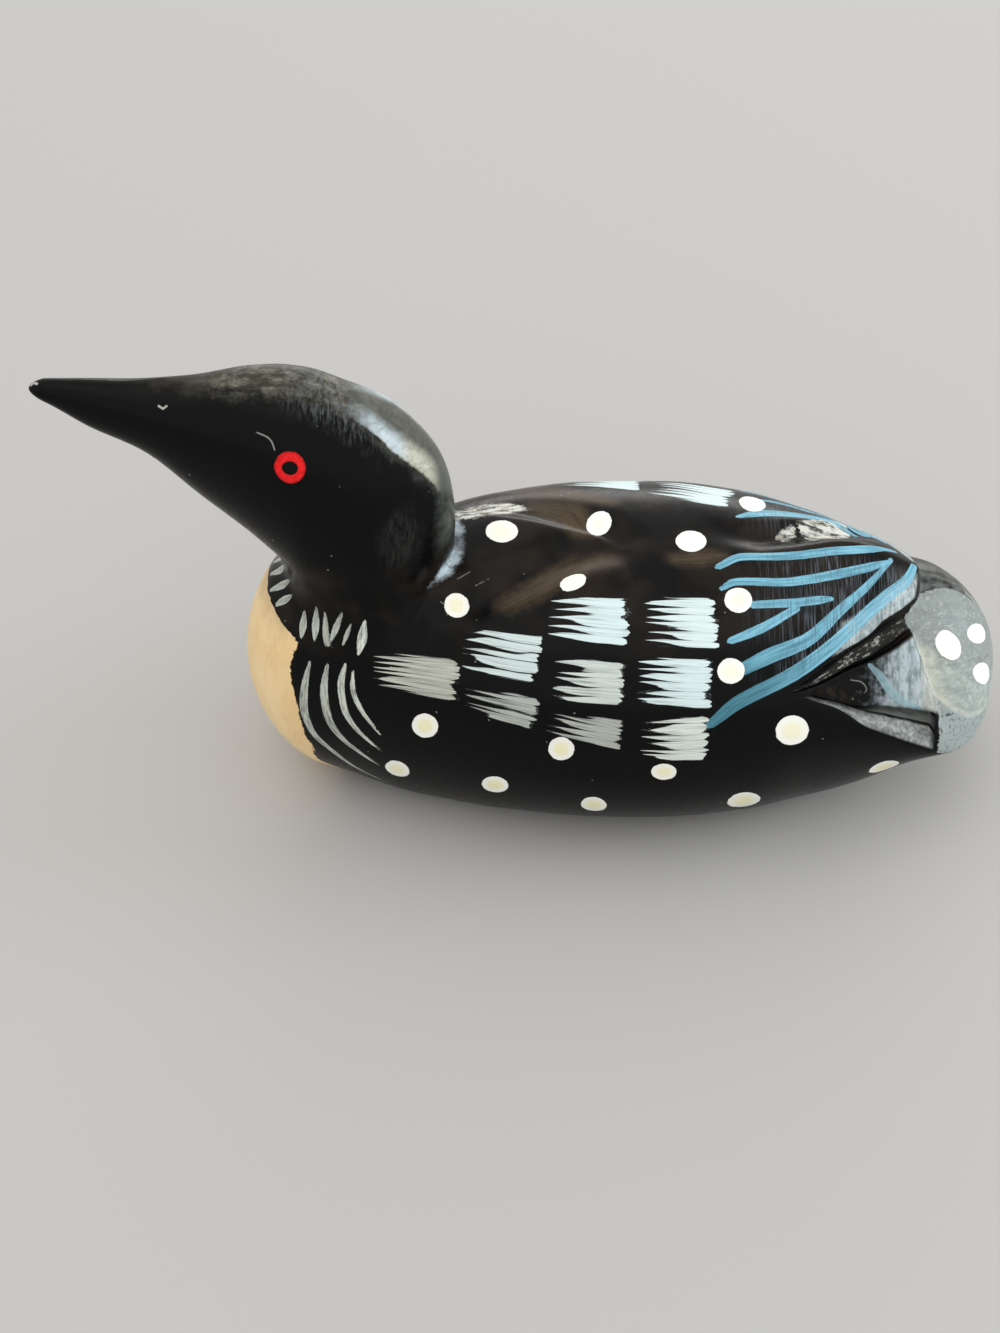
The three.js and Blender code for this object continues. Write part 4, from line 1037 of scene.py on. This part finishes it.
dry = ramp(bristle + coarse * 0.35 - calc("MAXIMUM", u - 0.72, 0.0) * 0.75 + (1.0 - size_of(u - 0.5)) * 0.12, 0.34, 0.46)
dab = left * right * rim * ramp(gate, 0.26, 0.14)
cover = dab * mixed(dry, ramp(u, 0.35, 0.8, 0.42, 0.75), 1.0) * opacity
cover = cover * ramp(bristle + ramp(u, 0.35, 0.8) * 0.12, 0.25, 0.58, 0.76, 1.0)
pale = blend(tint, (0.70, 0.86, 0.90), (0.76, 0.76, 0.64))
pale = blend(ramp(bristle, 0.52, 0.30) * ramp(u, 0.8, 0.4, 0.25, 0.5), pale, (0.30, 0.36, 0.37))
seam = ramp(off + (bristle - 0.5) * 0.9, 0.62, 1.05) * ramp(u, 0.25, 0.6)
pale = blend(seam * mixed(tint, 0.22, 0.50), pale, (0.36, 0.44, 0.45))
pale = blend(ramp(bristle, 0.56, 0.36) * tint * 0.45, pale, (0.20, 0.21, 0.18))
colour = blend(cover, colour, pale)
rough = mixed(cover, rough, 0.40)
height = height + dab * (0.3 + 0.5 * bristle)

# --- dashes and stripes
d, u, v, white = attribute("lines")
bristle = noise(vector(u * 0.5, v * 4.5, white * 11.0), 1.0, 3, 0.6)
line = ramp(d + (across - 0.5) * 0.16, 0.05, -0.04)
cover = line * ramp(bristle, 0.30, 0.60, 0.30, 1.0)
colour = blend(cover, colour, blend(white, (0.17, 0.18, 0.16), (0.74, 0.80, 0.72)))
rough = mixed(cover, rough, 0.38)
height = height + line * 0.4

# --- hair-thin scratches, by the offset across them
d, u, v, thick = attribute("scratches")
thin = ramp(size_of(v) - thick + (across - 0.5) * thick, 0.05, -0.03) * ramp(d, 0.25, 0.08)
colour = blend(thin * ramp(thick, 0.05, 0.10, 0.35, 0.85), colour, (0.50, 0.50, 0.46))

# --- dots
d, radial, seed, creamy = attribute("dots")
dot = ramp(d + (fine_noise - 0.5) * 0.24, 0.05, -0.03)
inside = ramp(radial, 0.25, 0.85)
dot_colour = blend(creamy * ramp(inside, 1.0, 0.2), (0.93, 0.94, 0.88), (0.88, 0.85, 0.48))
dot_colour = blend(ramp(across, 0.55, 0.8) * 0.22, dot_colour, (0.62, 0.60, 0.50))
colour = blend(dot, colour, dot_colour)
rough = mixed(dot, rough, 0.34)
height = height + dot * ramp(radial, 1.0, 0.7, 0.9, 0.6)

# --- eye: red ring, black pupil, a thin dark line round it
wavy = radius + (fine_noise - 0.5) * 0.22
pupil = calc("SQRT", ex * ex * 0.80 + (ey + 0.06) * (ey + 0.06) * 0.98) + (fine_noise - 0.5) * 0.18
eye = ramp(wavy, EYE_R + 0.05, EYE_R - 0.05)
colour = blend(ramp(wavy, EYE_R + 0.35, EYE_R + 0.1), colour, (0.002, 0.002, 0.002))
ring = eye * ramp(pupil, EYE_PUPIL - 0.05, EYE_PUPIL + 0.06)
red = blend(ramp(across, 0.35, 0.7), (0.86, 0.020, 0.022), (0.66, 0.010, 0.014))
red = blend(ramp(wavy, EYE_R - 0.35, EYE_R) * 0.6, red, (0.34, 0.006, 0.010))
colour = blend(eye, colour, (0.004, 0.004, 0.004))
colour = blend(ring, colour, red)
rough = mixed(eye, rough, 0.25)
height = height + ring * 0.6

link(colour, SHADER.inputs["Base Color"])
link(rough, SHADER.inputs["Roughness"])
SHADER.inputs["IOR"].default_value = 1.19
bump = TREE.nodes.new("ShaderNodeBump")
bump.inputs["Strength"].default_value = 0.55
bump.inputs["Distance"].default_value = 0.00012
link(height, bump.inputs["Height"])
TREE.links.new(bump.outputs["Normal"], SHADER.inputs["Normal"])

bird.data.materials.append(mat)
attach(bird, "root")
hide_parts("carved_loon")


# ---------------------------------------------------------------------------------------------
# Floor, light, camera
# ---------------------------------------------------------------------------------------------
bpy.ops.mesh.primitive_plane_add(size=6, location=(0, 0, -0.00005))
floor = bpy.context.object
floor.name = "floor"
fm = bpy.data.materials.new("pale_floor")
fm.use_nodes = True
fb = fm.node_tree.nodes["Principled BSDF"]
fb.inputs["Base Color"].default_value = (0.47, 0.467, 0.46, 1)
fb.inputs["Roughness"].default_value = 0.75
floor.data.materials.append(fm)

bpy.context.scene.view_settings.view_transform = "Standard"
world = bpy.data.worlds.new("studio")
world.use_nodes = True
world.node_tree.nodes["Background"].inputs["Color"].default_value = (1.0, 0.985, 0.96, 1)
world.node_tree.nodes["Background"].inputs["Strength"].default_value = 1.0
bpy.context.scene.world = world


def soft_light(name, azimuth, elevation, distance, width, height, radiance, colour):
    """a rectangular soft light, by how bright its face is"""
    a, e = math.radians(azimuth), math.radians(elevation)
    place_ = Vector((math.cos(e) * math.cos(a), math.cos(e) * math.sin(a), math.sin(e))) * distance
    data = bpy.data.lights.new(name, "AREA")
    data.shape = "RECTANGLE"
    data.size, data.size_y = width, height
    data.energy = radiance * math.pi * width * height
    data.color = colour
    lamp = bpy.data.objects.new(name, data)
    bpy.context.scene.collection.objects.link(lamp)
    lamp.location = place_
    lamp.rotation_euler = (Vector((0, 0, 0.02)) - place_).to_track_quat("-Z", "Y").to_euler()
    return lamp


soft_light("far_window", 84, 11, 1.1, 0.80, 0.26, 3.5, (1.0, 0.99, 0.96))
soft_light("tail_window", 6, 15, 1.0, 0.36, 0.40, 8.0, (0.86, 0.94, 1.0))
soft_light("overhead", -70, 78, 1.1, 1.3, 1.1, 0.55, (1.0, 0.96, 0.90))

CAM_TARGET = Vector((-0.004375, 0.0, 0.014))
CAM_ELEVATION, CAM_DISTANCE, FOCAL_PX, LONG_SIDE_PX = math.radians(45), 0.285, 2300.0, 1333.0
cam = bpy.data.cameras.new("camera")
cam.sensor_width = 36
cam.lens = 36 * FOCAL_PX / LONG_SIDE_PX
cam.clip_start = 0.01
camera = bpy.data.objects.new("camera", cam)
bpy.context.scene.collection.objects.link(camera)
camera.location = CAM_TARGET + Vector((0, -math.cos(CAM_ELEVATION), math.sin(CAM_ELEVATION))) * CAM_DISTANCE
camera.rotation_euler = (CAM_TARGET - camera.location).to_track_quat("-Z", "Y").to_euler()
bpy.context.scene.camera = camera
